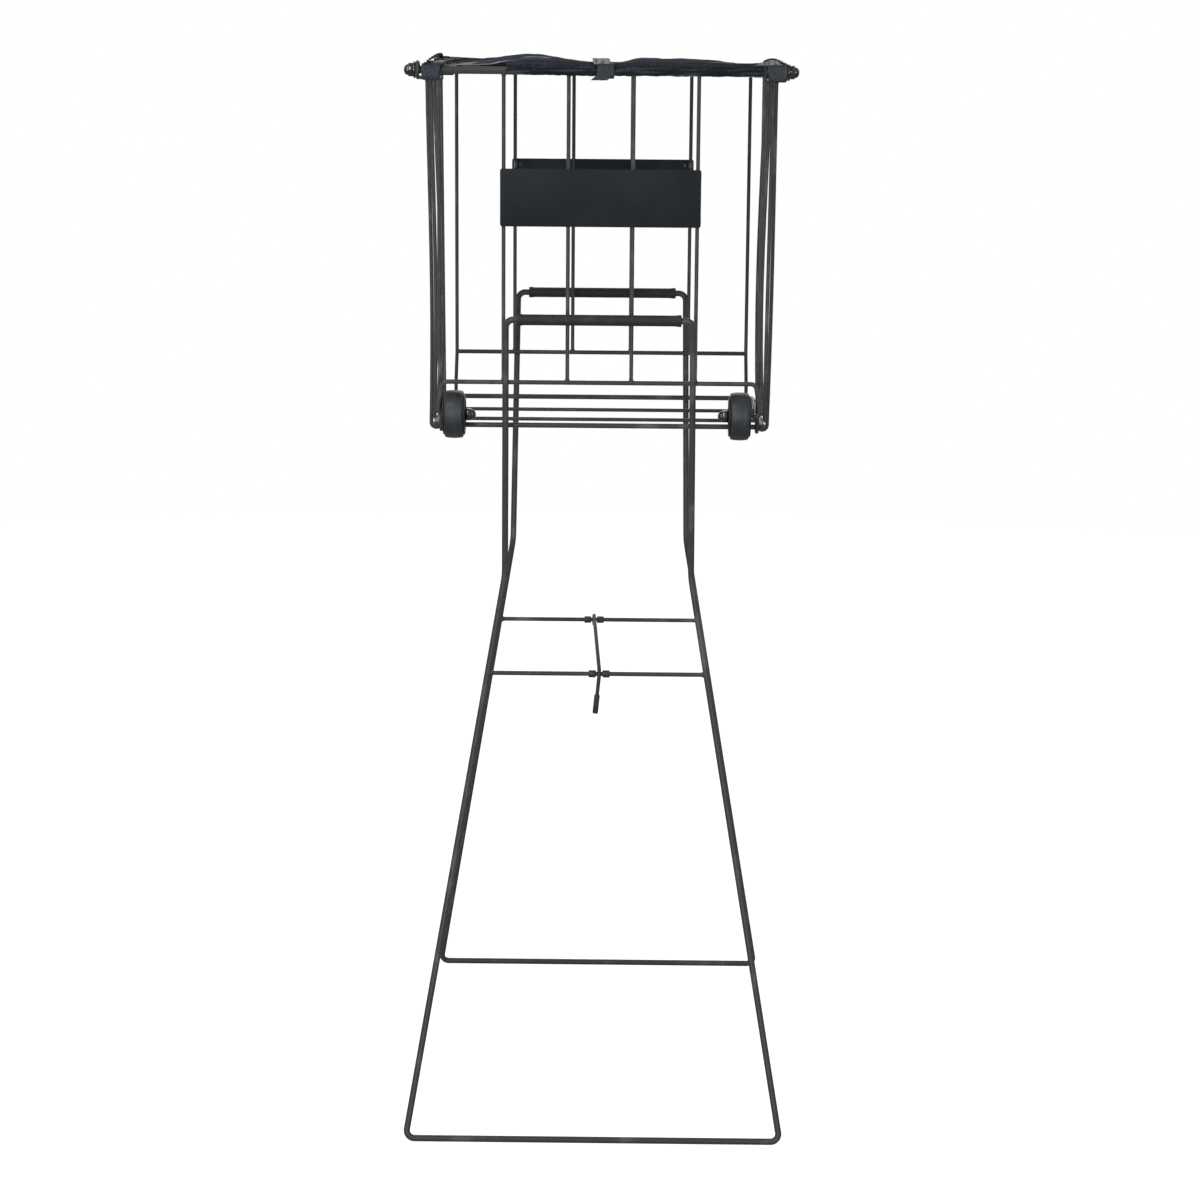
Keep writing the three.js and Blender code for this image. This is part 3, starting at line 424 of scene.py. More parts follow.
# Shares of the wire's half thickness: how thick and how long its end is
sawn = {"thick": 0.7, "long": 0.3}
weld = {"thick": 1.45, "neck": 1.16, "neckAt": 0.4, "endsAt": 1.2, "seatShare": 0.9}


def wireEnd(end, inner, half, seatRadius):  # a sawn end, or one flared by the weld on a round seat
    into = (inner - end).normalized() * mm
    if not seatRadius:
        return [(end, sawn["thick"] * half), (end + into * sawn["long"] * half, half)]
    return [
        (end, weld["thick"] * half),
        (end + into * weld["seatShare"] * seatRadius, weld["thick"] * half),
        (end + into * (seatRadius + weld["neckAt"] * half), weld["neck"] * half),
        (end + into * (seatRadius + weld["endsAt"] * half), half),
    ]


def strand(line, thick, starts=0, ends=0):
    half = thick / 2
    inner = [(place, half) for place in line[1:-1]]
    first = wireEnd(line[0], line[1], half, starts)
    last = wireEnd(line[-1], line[-2], half, ends)
    return {"spots": first + inner + last[::-1], "closed": False}


def hoop(line, thick):  # a wire whose end meets its start
    return {"spots": [(place, thick / 2) for place in line[:-1]], "closed": True}


def wirePiece(name, strands, body, node, finish):
    curve = bpy.data.curves.new(name, "CURVE")
    curve.dimensions = "3D"
    curve.bevel_depth = mm  # a point's radius is in millimetres
    curve.bevel_resolution = 6
    curve.use_fill_caps = True
    for wire in strands:
        spline = curve.splines.new("POLY")
        spline.points.add(len(wire["spots"]) - 1)
        for point, (place, radius) in zip(spline.points, wire["spots"]):
            point.co = (*place, 1)
            point.radius = radius
        spline.use_cyclic_u = wire["closed"]
    made = bpy.data.objects.new(name, curve)
    bpy.context.scene.collection.objects.link(made)
    take(made)
    bpy.ops.object.convert(target="MESH")
    smooth(made, 50)
    seat(made, body, node, finish)


basket = {
    "half": 114.6,  # from the middle to the front and back panels
    "rim": 813.5,  # height of the rim rods
    "rail": 578,
    "slant": 596,
    "ring": 542.3,
    "ringInset": 20.1,
    "ringOverhang": 4.85,
    "spacing": 49.1,
    "rod": 5.8,
    "rodHalf": 142.5,
    "wire": 3,
    "railWire": 3.5,
    "ringWire": 4,
    "weld": 0.4,
    "hook": 3.8,
    "hookRise": 3,
    "slantBend": 12,
}
outerX = 2.5 * basket["spacing"]
ringX = outerX + basket["ringOverhang"]
ringY = basket["half"] - basket["ringInset"]
axle = {"height": 553, "corner": 2.3, "outset": 1.7, "railBend": 4.5, "bend": 3.5, "ends": (98.35, 95.15)}
ways = {"front": -1, "rear": 1, "left": -1, "right": 1, "lower": -1, "upper": 1}


def outerWire(x, face, slantHeight):
    y = face * basket["half"]
    hookY = face * (ringY + basket["hook"])
    corners = [
        at(x, y, basket["rim"] - basket["weld"]),
        at(x, y, slantHeight),
        at(x, hookY, basket["ring"] + basket["slantBend"]),
        at(x, hookY, basket["ring"]),
    ]
    line = bendLine(corners, [0, basket["slantBend"], basket["slantBend"], 0])[:-1]
    centre = at(x, face * ringY, basket["ring"])
    line += arcLine(centre, basket["hook"], backward * face, upward, 0, -180)
    line.append(at(x, face * (ringY - basket["hook"]), basket["ring"] + basket["hookRise"]))
    return strand(line, basket["wire"], starts=basket["rod"] / 2 - basket["weld"])


def panelStrands(face, slantHeight):
    y = face * basket["half"]
    rodEnds = [at(x, y, basket["rim"]) for x in (-basket["rodHalf"], basket["rodHalf"])]
    wires = [strand(rodEnds, basket["rod"])]
    for share in (-1.5, -0.5, 0.5, 1.5):
        x = share * basket["spacing"]
        line = [at(x, y, basket["rail"]), at(x, y, basket["rim"] - basket["weld"])]
        wires.append(strand(line, basket["wire"], basket["railWire"] / 2, basket["rod"] / 2 - basket["weld"]))
    return wires + [outerWire(side * outerX, face, slantHeight) for side in (-1, 1)]


def makeFrontPanel():
    y = -basket["half"]
    cornerX = outerX - axle["corner"]
    bendX = outerX + axle["outset"]
    low, high = axle["height"], basket["rail"]
    stations = [(-axle["ends"][0], low), (-bendX, low), (-cornerX, high),
                (cornerX, high), (bendX, low), (axle["ends"][1], low)]
    corners = [at(x, y, z) for x, z in stations]
    radii = [0, axle["bend"], axle["railBend"], axle["railBend"], axle["bend"], 0]
    rail = strand(bendLine(corners, radii), basket["railWire"])
    wires = panelStrands(-1, basket["slant"]) + [rail]
    wirePiece("front_panel_wires", wires, "basket", "front_panel", coatedWire)


def makeBackPanel():
    y = basket["half"]
    rail = strand([at(-outerX, y, basket["rail"]), at(outerX, y, basket["rail"])], basket["railWire"])
    wires = panelStrands(1, basket["rail"]) + [rail]
    wirePiece("back_panel_wires", wires, "basket", "back_panel", coatedWire)


sidePanel = {"topX": 133.7, "eyeX": 138.4, "drop": 5.7, "runEnd": 105.3, "runStart": 93.3, "bend": 8,
             "margin": 12.5, "curl": 298, "pieces": 10, "bowPower": 1.4}
wireBows = {-1: (1.6, 1.9, 3.3, 2.2, 0), 1: (-0.7, 0.2, 2.7, 1.8, 2.2)}  # inwards, front to back


def makeSidePanel(name, side):
    top, half = basket["rim"] - sidePanel["drop"], basket["half"]
    stations = [(sidePanel["eyeX"], -half), (sidePanel["eyeX"], -sidePanel["runEnd"]),
                (sidePanel["topX"], -sidePanel["runStart"]), (sidePanel["topX"], sidePanel["runStart"]),
                (sidePanel["eyeX"], sidePanel["runEnd"]), (sidePanel["eyeX"], half)]
    corners = [at(side * x, y, top) for x, y in stations]
    bends = [0] + [sidePanel["bend"]] * 4 + [0]
    frontEye, rearEye = [at(side * sidePanel["eyeX"], y, basket["rim"]) for y in (-half, half)]
    frontCurl = arcLine(frontEye, sidePanel["drop"], -upward, -backward, sidePanel["curl"], 0)
    rearCurl = arcLine(rearEye, sidePanel["drop"], -upward, backward, 0, sidePanel["curl"])
    wires = [strand(frontCurl + bendLine(corners, bends)[1:-1] + rearCurl, basket["wire"])]
    reach = ringY - sidePanel["margin"]
    bows = wireBows[side]
    for i, bow in enumerate(bows):
        y = mix(-reach, reach, i / (len(bows) - 1))
        line = []
        for k in range(sidePanel["pieces"]):
            share = k / sidePanel["pieces"]
            x = mix(sidePanel["topX"], ringX + basket["hook"], share)
            x -= bow * math.sin(math.pi * share ** sidePanel["bowPower"])
            line.append(at(side * x, y, mix(top, basket["ring"], share)))
        line += arcLine(at(side * ringX, y, basket["ring"]), basket["hook"], across * side, upward, 0, -180)
        line.append(at(side * (ringX - basket["hook"]), y, basket["ring"] + basket["hookRise"]))
        wires.append(strand(line, basket["wire"], starts=basket["wire"] / 2))
    wirePiece(name + "_wires", wires, "basket", name, coatedWire)


floor = {"corner": 4.5, "bars": 2, "barWire": 3, "overlap": 0.4}


def makeFloorRing():
    stations = [(0, -1), (1, -1), (1, 1), (-1, 1), (-1, -1), (0, -1)]
    corners = [at(x * ringX, y * ringY, basket["ring"]) for x, y in stations]
    wires = [hoop(bendLine(corners, [0] + [floor["corner"]] * 4 + [0]), basket["ringWire"])]
    height = basket["ring"] - (basket["ringWire"] + floor["barWire"]) / 2 + floor["overlap"]
    barEnd = ringX + basket["ringWire"] / 4
    for i in range(1, floor["bars"] + 1):
        y = mix(-ringY, ringY, i / (floor["bars"] + 1))
        wires.append(strand([at(-barEnd, y, height), at(barEnd, y, height)], floor["barWire"]))
    wirePiece("floor_ring_wires", wires, "basket", "floor_ring", coatedWire)


lean = math.radians(12.3)  # of the loops above their waist
legs = {
    "wire": 5,
    "crossbar": 3.5,
    "slope": math.tan(lean),
    "standOff": 4.55 / math.cos(lean),
    "gripHeight": 627.4,
    "gripHalf": 71.3,
    "waistHeight": 421.6,
    "waistHalf": 73.5,
    "footReach": 215.6,
    "footHalf": 144.6,
    "footHeight": 2.5,
    "bends": (6, 22, 6),
    "barHeight": 347.5,
}
gripY = basket["half"] + legs["standOff"] + (legs["gripHeight"] - basket["rail"]) * legs["slope"]
waistY = basket["half"] + legs["standOff"] - (basket["rail"] - legs["waistHeight"]) * legs["slope"]
barShare = (legs["waistHeight"] - legs["barHeight"]) / (legs["waistHeight"] - legs["footHeight"])
barY = mix(waistY, legs["footReach"], barShare)
barHalf = mix(legs["waistHalf"], legs["footHalf"], barShare)


def makeLegLoop(name, face, body):
    grip, waist, foot = legs["bends"]
    rightSide = [
        at(legs["gripHalf"], face * gripY, legs["gripHeight"]),
        at(legs["waistHalf"], face * waistY, legs["waistHeight"]),
        at(legs["footHalf"], face * legs["footReach"], legs["footHeight"]),
    ]
    leftSide = [Vector((-p.x, p.y, p.z)) for p in reversed(rightSide)]
    middle = at(0, face * gripY, legs["gripHeight"])
    line = bendLine([middle, *rightSide, *leftSide, middle], [0, grip, waist, foot, foot, waist, grip, 0])
    bar = [at(-barHalf, face * barY, legs["barHeight"]), at(barHalf, face * barY, legs["barHeight"])]
    seatRadius = legs["wire"] / 2
    wires = [hoop(line, legs["wire"]), strand(bar, legs["crossbar"], seatRadius, seatRadius)]
    wirePiece(name + "_wire", wires, body, name, coatedWire)


link = {"rearX": -4.5, "frontX": 1.7, "wire": 3, "tail": 30, "ride": 3.69, "eye": -110, "lean": 5.5}


def makeLink():
    skew = Vector((link["frontX"] - link["rearX"], -2 * barY, 0)).normalized()
    rearBar = at(link["rearX"], barY, legs["barHeight"])
    frontBar = at(link["frontX"], -barY, legs["barHeight"])
    eye = arcLine(rearBar, link["ride"], -skew, upward, link["eye"], 90)
    hook = arcLine(frontBar, link["ride"], -skew, upward, 90, 180)
    sideLean = math.radians(link["lean"])
    down = Vector((-math.sin(sideLean), 0, -math.cos(sideLean)))
    tailEnd = hook[-1] + down * link["tail"] * mm
    wirePiece("link_wire", [strand(eye + hook + [tailEnd], link["wire"])], "link", "link_hook", dullWire)
    return tailEnd, down


makeFrontPanel()
makeBackPanel()
makeSidePanel("side_panel_left", -1)
makeSidePanel("side_panel_right", 1)
makeFloorRing()
makeLegLoop("front_leg_loop", -1, "front_leg")
makeLegLoop("rear_leg_loop", 1, "rear_leg")
tailEnd, tailWay = makeLink()
print("wires bent and welded")


# Turned pieces: an outline of radius and place along the axis, in millimetres, spun round a line

seam = 0.002  # places nearer than this are one


def turned(name, outline, centre, along=across, sides=56):
    side = backward if abs(along.x) > 0.5 else across
    side = (side - along * side.dot(along)).normalized()
    places = [centre + (side * radius + along * reach) * mm for radius, reach in outline]
    edges = [(i, (i + 1) % len(places)) for i in range(len(places))]
    made = fromMesh(name, places, edges, [])
    edit(made, "VERT")
    bpy.ops.mesh.select_all(action="SELECT")
    bpy.ops.mesh.spin(steps=sides, angle=2 * math.pi, center=centre, axis=along, use_auto_merge=True)
    bpy.ops.mesh.select_all(action="SELECT")
    bpy.ops.mesh.remove_doubles(threshold=seam * mm)
    bpy.ops.mesh.normals_make_consistent(inside=False)
    clearBench()
    return made


def turnedPiece(name, outline, centre, body, node, finish, along=across, sides=56):
    made = turned(name, outline, centre, along, sides)
    smooth(made, 40)
    seat(made, body, node, finish)


def roundedOutline(corners, radii, steps):  # an outline with an arc at each corner that has a radius
    outline = []
    spots = [Vector((*corner, 0)) for corner in corners]
    for i, radius in enumerate(radii):
        if not radius:
            outline.append(corners[i])
            continue
        centre, axis, turn, spoke = cornerArc(spots[i - 1], spots[i], spots[(i + 1) % len(spots)], radius)
        for k in range(steps + 1):
            spot = centre + Quaternion(axis, turn * k / steps) @ spoke
            outline.append((spot.x, spot.y))
    return outline


def domeOutline(radius, low, high, steps):  # from a dome's foot to its pole
    turns = [math.radians(90 * k / steps) for k in range(1, steps)]
    flank = [(radius * math.cos(turn), low + (high - low) * math.sin(turn)) for turn in turns]
    return [(radius, low)] + flank + [(0, high)]


wheel = {
    "width": 14.4,
    "radius": 18.5,
    "tyre": 4.6,
    "shoulder": 1.7,
    "crown": 0.75,
    "tyreEdge": 0.4,
    "flange": 1.2,
    "flangeRadius": 15.75,
    "barrel": 4.75,
    "recess": 4,
    "draft": 0.5,
    "rim": 2.2,
    "bore": 2.04,
    "play": 0.3,  # between tyre and hub
    "gap": 1.1,
    "slides": {"left": 0, "right": 3.2},
    "hubBends": [0.3, 0.5, 0.8, 0.8, 0.4, 0.5, 0.3, 0],
}


def makeWheel(name):
    side = ways[name]
    half = wheel["width"] / 2
    full = half + wheel["flange"]
    wireX = outerX + axle["outset"] - axle["bend"]
    x = side * (wireX - wheel["gap"] - wheel["slides"][name] - full)
    centre = at(x, -basket["half"], axle["height"])
    inner = wheel["radius"] - wheel["tyre"]
    shares = (-1, -0.75, -0.5, -0.25, 0, 0.25, 0.5, 0.75, 1)
    tread = [(wheel["radius"] - wheel["crown"] * share ** 2, half * share) for share in shares]
    shoulder = [wheel["tyreEdge"], wheel["shoulder"]]
    bends = shoulder + [0] * (len(tread) - 2) + shoulder[::-1]
    outline = roundedOutline([(inner, -half), *tread, (inner, half)], bends, 6)
    tyre, hub = "wheel_tyre_" + name, "wheel_hub_" + name
    turnedPiece(tyre + "_rubber", outline, centre, "wheel_" + name, tyre, tyreRubber, sides=96)
    hubSeat = inner - wheel["play"]
    flange = half + wheel["play"]
    rim = hubSeat - wheel["rim"]
    recess = full - wheel["recess"]
    rightHalf = [(wheel["bore"], full), (wheel["barrel"], full), (wheel["barrel"] + wheel["draft"], recess),
                 (rim - wheel["draft"], recess), (rim, full), (wheel["flangeRadius"], full),
                 (wheel["flangeRadius"], flange), (hubSeat, flange)]
    leftHalf = [(radius, -reach) for radius, reach in reversed(rightHalf)]
    outline = roundedOutline(rightHalf + leftHalf, wheel["hubBends"] + wheel["hubBends"][::-1], 3)
    turnedPiece(hub + "_moulding", outline, centre, "wheel_" + name, hub, hubPlastic, sides=72)


nutEdge = {"sink": 0.2, "step": 0.5, "soft": 0.15}  # the dome starts in the hexagon, and a step above it


def domedNut(node, start, outward, nut):
    length = nut["length"]
    corner = nut["size"] / 2 / math.cos(math.pi / 6)
    clearBench()
    bpy.ops.mesh.primitive_cylinder_add(
        vertices=6, radius=corner * mm, depth=length * mm,
        location=start + outward * length / 2 * mm, rotation=(0, math.pi / 2, 0))
    hexagon = bpy.context.view_layer.objects.active
    shape = edit(hexagon)
    shape.normal_update()
    for face in shape.faces:
        turnedNormal = hexagon.matrix_world.to_3x3() @ face.normal
        face.select_set(turnedNormal.dot(outward) > 0.9)
    done(hexagon)
    bpy.ops.mesh.bevel(offset=nut["chamfer"] * mm, segments=3)
    clearBench()
    roundEdges(hexagon, nutEdge["soft"] * mm, 2)
    radius = nut["dome"] / 2
    foot = length - nutEdge["sink"]
    shell = domeOutline(radius, length + nutEdge["step"], length + nut["rise"], 8)
    outline = [(radius, foot)] + shell + [(0, foot)]
    dome = turned(node + "_dome", outline, start, outward, 32)
    take(hexagon)
    bpy.ops.object.transform_apply(location=True, rotation=True, scale=True)
    made = join(node + "_cap", hexagon, dome)
    smooth(made, 35)
    seat(made, "basket", node, blackHardware)


rimEnd = {"washer": 140.2, "thick": 1.5, "radius": 6.3, "bore": 3.3, "nut": 142,
          "bends": [0.2, 0.4, 0.4, 0.2]}
rimNut = {"size": 10, "length": 3.4, "dome": 8.2, "rise": 3.6, "chamfer": 0.55}
axleNut = {"size": 9, "length": 4.4, "dome": 7.4, "rise": 3.6, "chamfer": 0.5}
axleNutAt = {"left": 102.75, "right": 99.55}


def ringOutline(inner, outer, near, far, bends):
    return roundedOutline([(inner, near), (outer, near), (outer, far), (inner, far)], bends, 3)


def makeRimEnd(faceName, sideName):
    centre = at(0, ways[faceName] * basket["half"], basket["rim"])
    outward = across * ways[sideName]
    near = rimEnd["washer"]
    outline = ringOutline(rimEnd["bore"], rimEnd["radius"], near, near + rimEnd["thick"], rimEnd["bends"])
    node = "rim_washer_%s_%s" % (faceName, sideName)
    turnedPiece(node + "_disc", outline, centre, "basket", node, blackHardware, outward)
    domedNut("cap_nut_%s_%s" % (faceName, sideName), centre + outward * rimEnd["nut"] * mm, outward, rimNut)


def makeTurnedPieces():
    for sideName in ("left", "right"):
        makeWheel(sideName)
        start = at(ways[sideName] * axleNutAt[sideName], -basket["half"], axle["height"])
        domedNut("axle_nut_" + sideName, start, across * -ways[sideName], axleNut)
        for faceName in ("front", "rear"):
            makeRimEnd(faceName, sideName)


grip = {"bore": 2.7, "radius": 4.15, "half": 62.5, "lip": 0.35, "lipLength": 3, "rearShift": 0.4,
        "bends": [0.3, 0.7, 0.8, 0.8]}


def makeGrip(name, face, shift, body):
    radius, lip = grip["radius"], grip["radius"] + grip["lip"]
    lipEnd, slopeEnd = grip["half"] - grip["lipLength"], grip["half"] - 1.5 * grip["lipLength"]
    rightHalf = [(radius, slopeEnd), (lip, lipEnd), (lip, grip["half"]), (grip["bore"], grip["half"])]
    leftHalf = [(radius, -reach) for radius, reach in reversed(rightHalf)]
    outline = roundedOutline(leftHalf + rightHalf, grip["bends"] + grip["bends"][::-1], 4)
    centre = at(shift, face * gripY, legs["gripHeight"])
    turnedPiece(name + "_foam", outline, centre, body, name, gripFoam)


stop = {"length": 5.7, "bore": 2.19, "outer": 2.89, "reach": 2.6, "bends": [0.15, 0.4, 0.4, 0.15]}


def makeStop(faceName, sideName, linkX):
    start = linkX + (stop["reach"] if sideName == "right" else -stop["reach"] - stop["length"])
    centre = at(start, ways[faceName] * barY, legs["barHeight"])
    outline = ringOutline(stop["bore"], stop["outer"], 0, stop["length"], stop["bends"])
    node = "link_stop_%s_%s" % (faceName, sideName)
    body = faceName + "_leg"
    turnedPiece(node + "_sleeve", outline, centre, body, node, sleeveVinyl, sides=32)


tip = {"bore": 1.7, "outer": 2.2, "length": 15, "over": 1.2, "bottom": -0.3,
       "bends": [0, 0.8, 0.35, 0.1, 0, 0]}


def makeTip():
    low, high = -tip["over"], tip["length"] - tip["over"]
    corners = [(0, low), (tip["outer"], low), (tip["outer"], high), (tip["bore"], high),
               (tip["bore"], tip["bottom"]), (0, tip["bottom"])]
    outline = roundedOutline(corners, tip["bends"], 4)
    name = "link_tip"
    turnedPiece(name + "_sleeve", outline, tailEnd, "link", name, sleeveVinyl, -tailWay, 32)


makeTurnedPieces()
makeGrip("front_grip", -1, 0, "front_leg")
makeGrip("rear_grip", 1, grip["rearShift"], "rear_leg")
for faceName, linkX in (("front", link["frontX"]), ("rear", link["rearX"])):
    for sideName in ("left", "right"):
        makeStop(faceName, sideName, linkX)
makeTip()
print("wheels, nuts, grips and sleeves turned")


# Plates and their clips

plate = {"half": 76.25, "height": 43.5, "middle": 718.75, "near": 116.4, "thick": 1.2, "corner": 1.6,
         "edge": 0.3}


def makePlate(name, face):
    clearBench()
    y = face * (plate["near"] + plate["thick"] / 2)
    bpy.ops.mesh.primitive_cube_add(size=1, location=at(0, y, plate["middle"]))
    made = bpy.context.view_layer.objects.active
    made.name = name + "_sheet"
    made.scale = at(2 * plate["half"], plate["thick"], plate["height"])
    bpy.ops.object.transform_apply(location=False, rotation=False, scale=True)
    shape = edit(made, "EDGE")
    for line in shape.edges:
        run = line.verts[1].co - line.verts[0].co
        line.select_set(abs(run.y) > 0.5 * plate["thick"] * mm and abs(run.x) + abs(run.z) < mm)
    done(made)
    bpy.ops.mesh.bevel(offset=plate["corner"] * mm, segments=5)
    clearBench()
    roundEdges(made, plate["edge"] * mm, 3)
    smooth(made, 30)
    seat(made, "basket", name, plateCoat)


clip = {"ride": 2.42, "sheet": 0.6, "width": 5, "seat": -1.2, "foot": 6.1, "bend": 0.7, "edge": 0.12,
        "spread": 16.75, "rivet": 4.4, "head": 1.6, "headEdge": 0.25, "rise": 0.9}


def makeClip(faceName, sideName, levelName):  # a strip of sheet over a panel wire, riveted to the plate
    node = "plate_clip_%s_%s_%s" % (faceName, sideName, levelName)
    face, side = ways[faceName], ways[sideName]
    height = plate["middle"] + ways[levelName] * clip["spread"]
    centre = at(side * 1.5 * basket["spacing"], face * basket["half"], height)
    inboard, inward = across * -side, backward * -face
    seatAt = clip["seat"]

    def spot(a, b):
        return centre + (inboard * a + inward * b) * mm

    corners = [spot(clip["foot"], seatAt), spot(clip["ride"], seatAt), spot(clip["ride"], 0)]
    path = bendLine(corners, [0, clip["bend"], 0])
    path += arcLine(centre, clip["ride"], inboard, inward, 0, 180)[1:] + [spot(-clip["ride"], seatAt)]
    rows = [[place + upward * clip["width"] * share * mm for share in (-0.5, 0, 0.5)] for place in path]
    strip = gridPiece(node + "_strip", rows, clip["sheet"], levels=0)
    roundEdges(strip, clip["edge"] * mm, 2, 60)
    outline = [(clip["head"], 0)] + domeOutline(clip["head"], clip["headEdge"], clip["rise"], 6) + [(0, 0)]
    rivet = turned(node + "_rivet", outline, spot(clip["rivet"], seatAt + clip["sheet"] / 2), inward, 24)
    made = join(node + "_steel", strip, rivet)
    smooth(made, 35)
    seat(made, "basket", node, blackHardware)


makePlate("front_plate", -1)
makePlate("rear_plate", 1)
for faceName in ("front", "rear"):
    for sideName in ("left", "right"):
        for levelName in ("lower", "upper"):
            makeClip(faceName, sideName, levelName)
print("plates cut and clipped")


# Straps: tape wound round a rod, one and a bit turns, with a loose end

def splineThrough(corners, steps):  # an even curve through points given as tuples
    points = [Vector(corner) for corner in corners]
    made = []
    for i in range(len(points) - 1):
        before = points[max(i - 1, 0)]
        after = points[min(i + 2, len(points) - 1)]
        start, end = points[i], points[i + 1]
        for k in range(steps):
            s = k / steps
            made.append(0.5 * (2 * start + (end - before) * s
                               + (2 * before - 5 * start + 4 * end - after) * s * s
                               + (3 * start - before - 3 * end + after) * s * s * s))
    return made + [points[-1]]


strap = {"thick": 1.1, "depth": 4.5, "rise": 4.3, "drop": 5.6, "middleDrop": 3.7, "rearDrop": 4.3,
         "lap": 1.25, "columns": 7, "steps": 4, "wobble": 0.25, "alongRod": 0.21, "aroundRod": 0.3}


def strapRows(path, leftAt, rightAt, y):
    rows = []
    for spot in splineThrough(path, strap["steps"]):
        left, right = leftAt(spot.y), rightAt(spot.y)
        row = []
        for c in range(strap["columns"]):
            x = mix(left, right, c / (strap["columns"] - 1))
            spread = Vector((x * strap["alongRod"], spot.x * strap["aroundRod"], spot.y * strap["aroundRod"]))
            ripple = strap["wobble"] * noise.noise(spread)
            row.append(at(x, y + spot.x + ripple, basket["rim"] + spot.y + ripple))
        rows.append(row)
    return rows


# Paths are places behind and above the rod's middle
def hugPath():  # once round the rear rod, close to it
    depth, rise, drop = strap["depth"], strap["rise"], strap["rearDrop"]
    return [
        (-2.8, -drop + 0.2), (2.4, -drop), (depth - 0.4, -drop + 1.5), (depth, -0.6), (depth, rise - 1.7),
        (depth - 1.7, rise), (1.7 - depth, rise), (-depth, rise - 1.7), (-depth, -0.6),
        (0.3 - depth, -drop + 1.5), (-depth - 0.7, -drop + 2.4),
    ]


def bandPath(grow, drop):  # round the front rod and over itself at the front
    depth, rise = strap["depth"] + grow, strap["rise"] + grow
    over = depth + strap["lap"]
    return [
        (2.2, -drop + 0.4), (-2.4, -drop + 0.2), (-depth + 0.4, -drop + 1.6), (-depth, -1.2),
        (-depth, rise - 1.7), (-depth + 1.7, rise), (depth - 1.7, rise), (depth, rise - 1.7), (depth, -1.2),
        (depth - 0.4, -drop + 1.4), (2.4, -drop - strap["lap"] + 0.3), (-2.6, -drop - strap["lap"]),
        (-over + 0.4, -drop + 0.6), (-over, -1.4), (-over - 0.1, rise - 2.4), (-over - 0.6, rise - 0.6),
    ]


def leaning(low, high):  # goes from one value at the strap's foot to another at its top
    reach = strap["drop"] + strap["rise"]
    return lambda height: mix(low, high, within((height + strap["drop"]) / reach))


def tapering(start, end, low, reach):  # goes from one value to another over a reach above or below a height
    return lambda height: mix(start, end, (height - low) / reach)


strapEdges = {  # the left and the right edge, each at the strap's foot and at its top
    "front_left": ((-135.4, -135.4), (-122.4, -120.6)),
    "front_right": ((126, 124.4), (139, 137.6)),
    "rear_left": ((-136.6, -136.6), (-125.2, -125.2)),
    "rear_right": ((125.2, 125.2), (136.6, 136.6)),
    "rear_middle": ((-4.8, -4.8), (8.8, 8.8)),
    "front_middle": ((-3.3, -3.3), (9.7, 9.7)),
}
# A loose end has a path, its left and right edges from start to end, and the height and reach between these
looseEnds = {
    "front_left": [
        ([(-3.2, 4.3), (-2.0, 5.4), (-0.4, 6.3), (1.6, 7.0)], (-130.5, -126), (-115.5, -119), (4, 3)),
    ],
    "front_right": [
        ([(-3.4, 4.2), (-2.4, 5.4), (-1.0, 7.4), (0.4, 8.9)], (111, 127), (140, 133), (4, 5)),
    ],
    "front_middle": [
        ([(-5.4, 4.6), (-5.0, 6.4), (-4.2, 8.2), (-3.2, 9.2)], (-5.4, -7.2), (8, 6.2), (4, 5)),
        ([(-6.3, -2.6), (-6.9, -4.2), (-7.5, -5.8), (-7.9, -6.7)], (-3.4, -7.4), (9.4, 5.4), (-2.6, -3.4)),
    ],
}


def makeStrap(name):
    y, path = -basket["half"], bandPath(0, strap["drop"])
    if name.startswith("rear"):
        y, path = basket["half"], hugPath()
    if name == "front_middle":
        path = bandPath(1, strap["middleDrop"])
    left, right = strapEdges[name]
    node = "rim_strap_" + name
    made = gridPiece(node + "_tape", strapRows(path, leaning(*left), leaning(*right), y), strap["thick"])
    for endPath, left, right, reach in looseEnds.get(name, []):
        rows = strapRows(endPath, tapering(*left, *reach), tapering(*right, *reach), y)
        made = join(node + "_tape", made, gridPiece(node + "_end", rows, strap["thick"]))
    seat(made, "basket", node, strapTape)


for name in strapEdges:
    makeStrap(name)
print("straps wound")


# Lid: sleeve round the front rod, flap, border and zip

lid = {
    "sleeveLeft": -72,
    "sleeveRight": 122.2,
    "wrap": 4.1,  # from the rod's middle to the middle of the cloth
    "cloth": 0.7,
    "flapHalf": 121.3,
    "flapFront": -107.2,
    "flapRear": 102.2,
    "base": 819.5,
    "rise": 3,
    "riseRight": -0.4,
    "hem": 0.35,  # share of the billows' height that the hem already has
    "fill": 10,  # how soon behind the hem the billows are full
    "seam": 7.5,
    "looseDrop": 1.9,  # how far the hem hangs where no sleeve holds it, and how far forward
    "looseForward": 4.5,
    "looseReach": 14,
    "looseFrom": 8,
    "hemUneven": 0.5,
    "hemDip": 0.7,
    "crease": 0.75,
    "pucker": 0.6,
    "hemRamp": 14,  # how steeply these set in from the edges
    "foldRamp": 12,
    "creaseRamp": 6,
    "sideRamp": 9,
}

# Uneven cloth: a pattern's length across and along the cloth, and its slice of the noise
patterns = {
    "crease": (8, 46, 3.1),
    "pucker": (21, 15, 8.4),
    "wearAndHighlight": (9, 9, 4.4),
    "fray": (5, 1.8, 1.2),
    "hem": (7, 1, 1.9),
    "gather": (3.1, 1 / 1.4, 5.2),
    "slack": (11, 1 / 2, 9.7),
    "streak": (26, 1 / 7, 6.1),
    "sleeveHem": (4, 1, 0.3),
    "border": (13, 13, 2.2),
}


def drift(name, x, y):
    wide, long, piece = patterns[name]
    return noise.noise(Vector((x / wide, y / long, piece)))


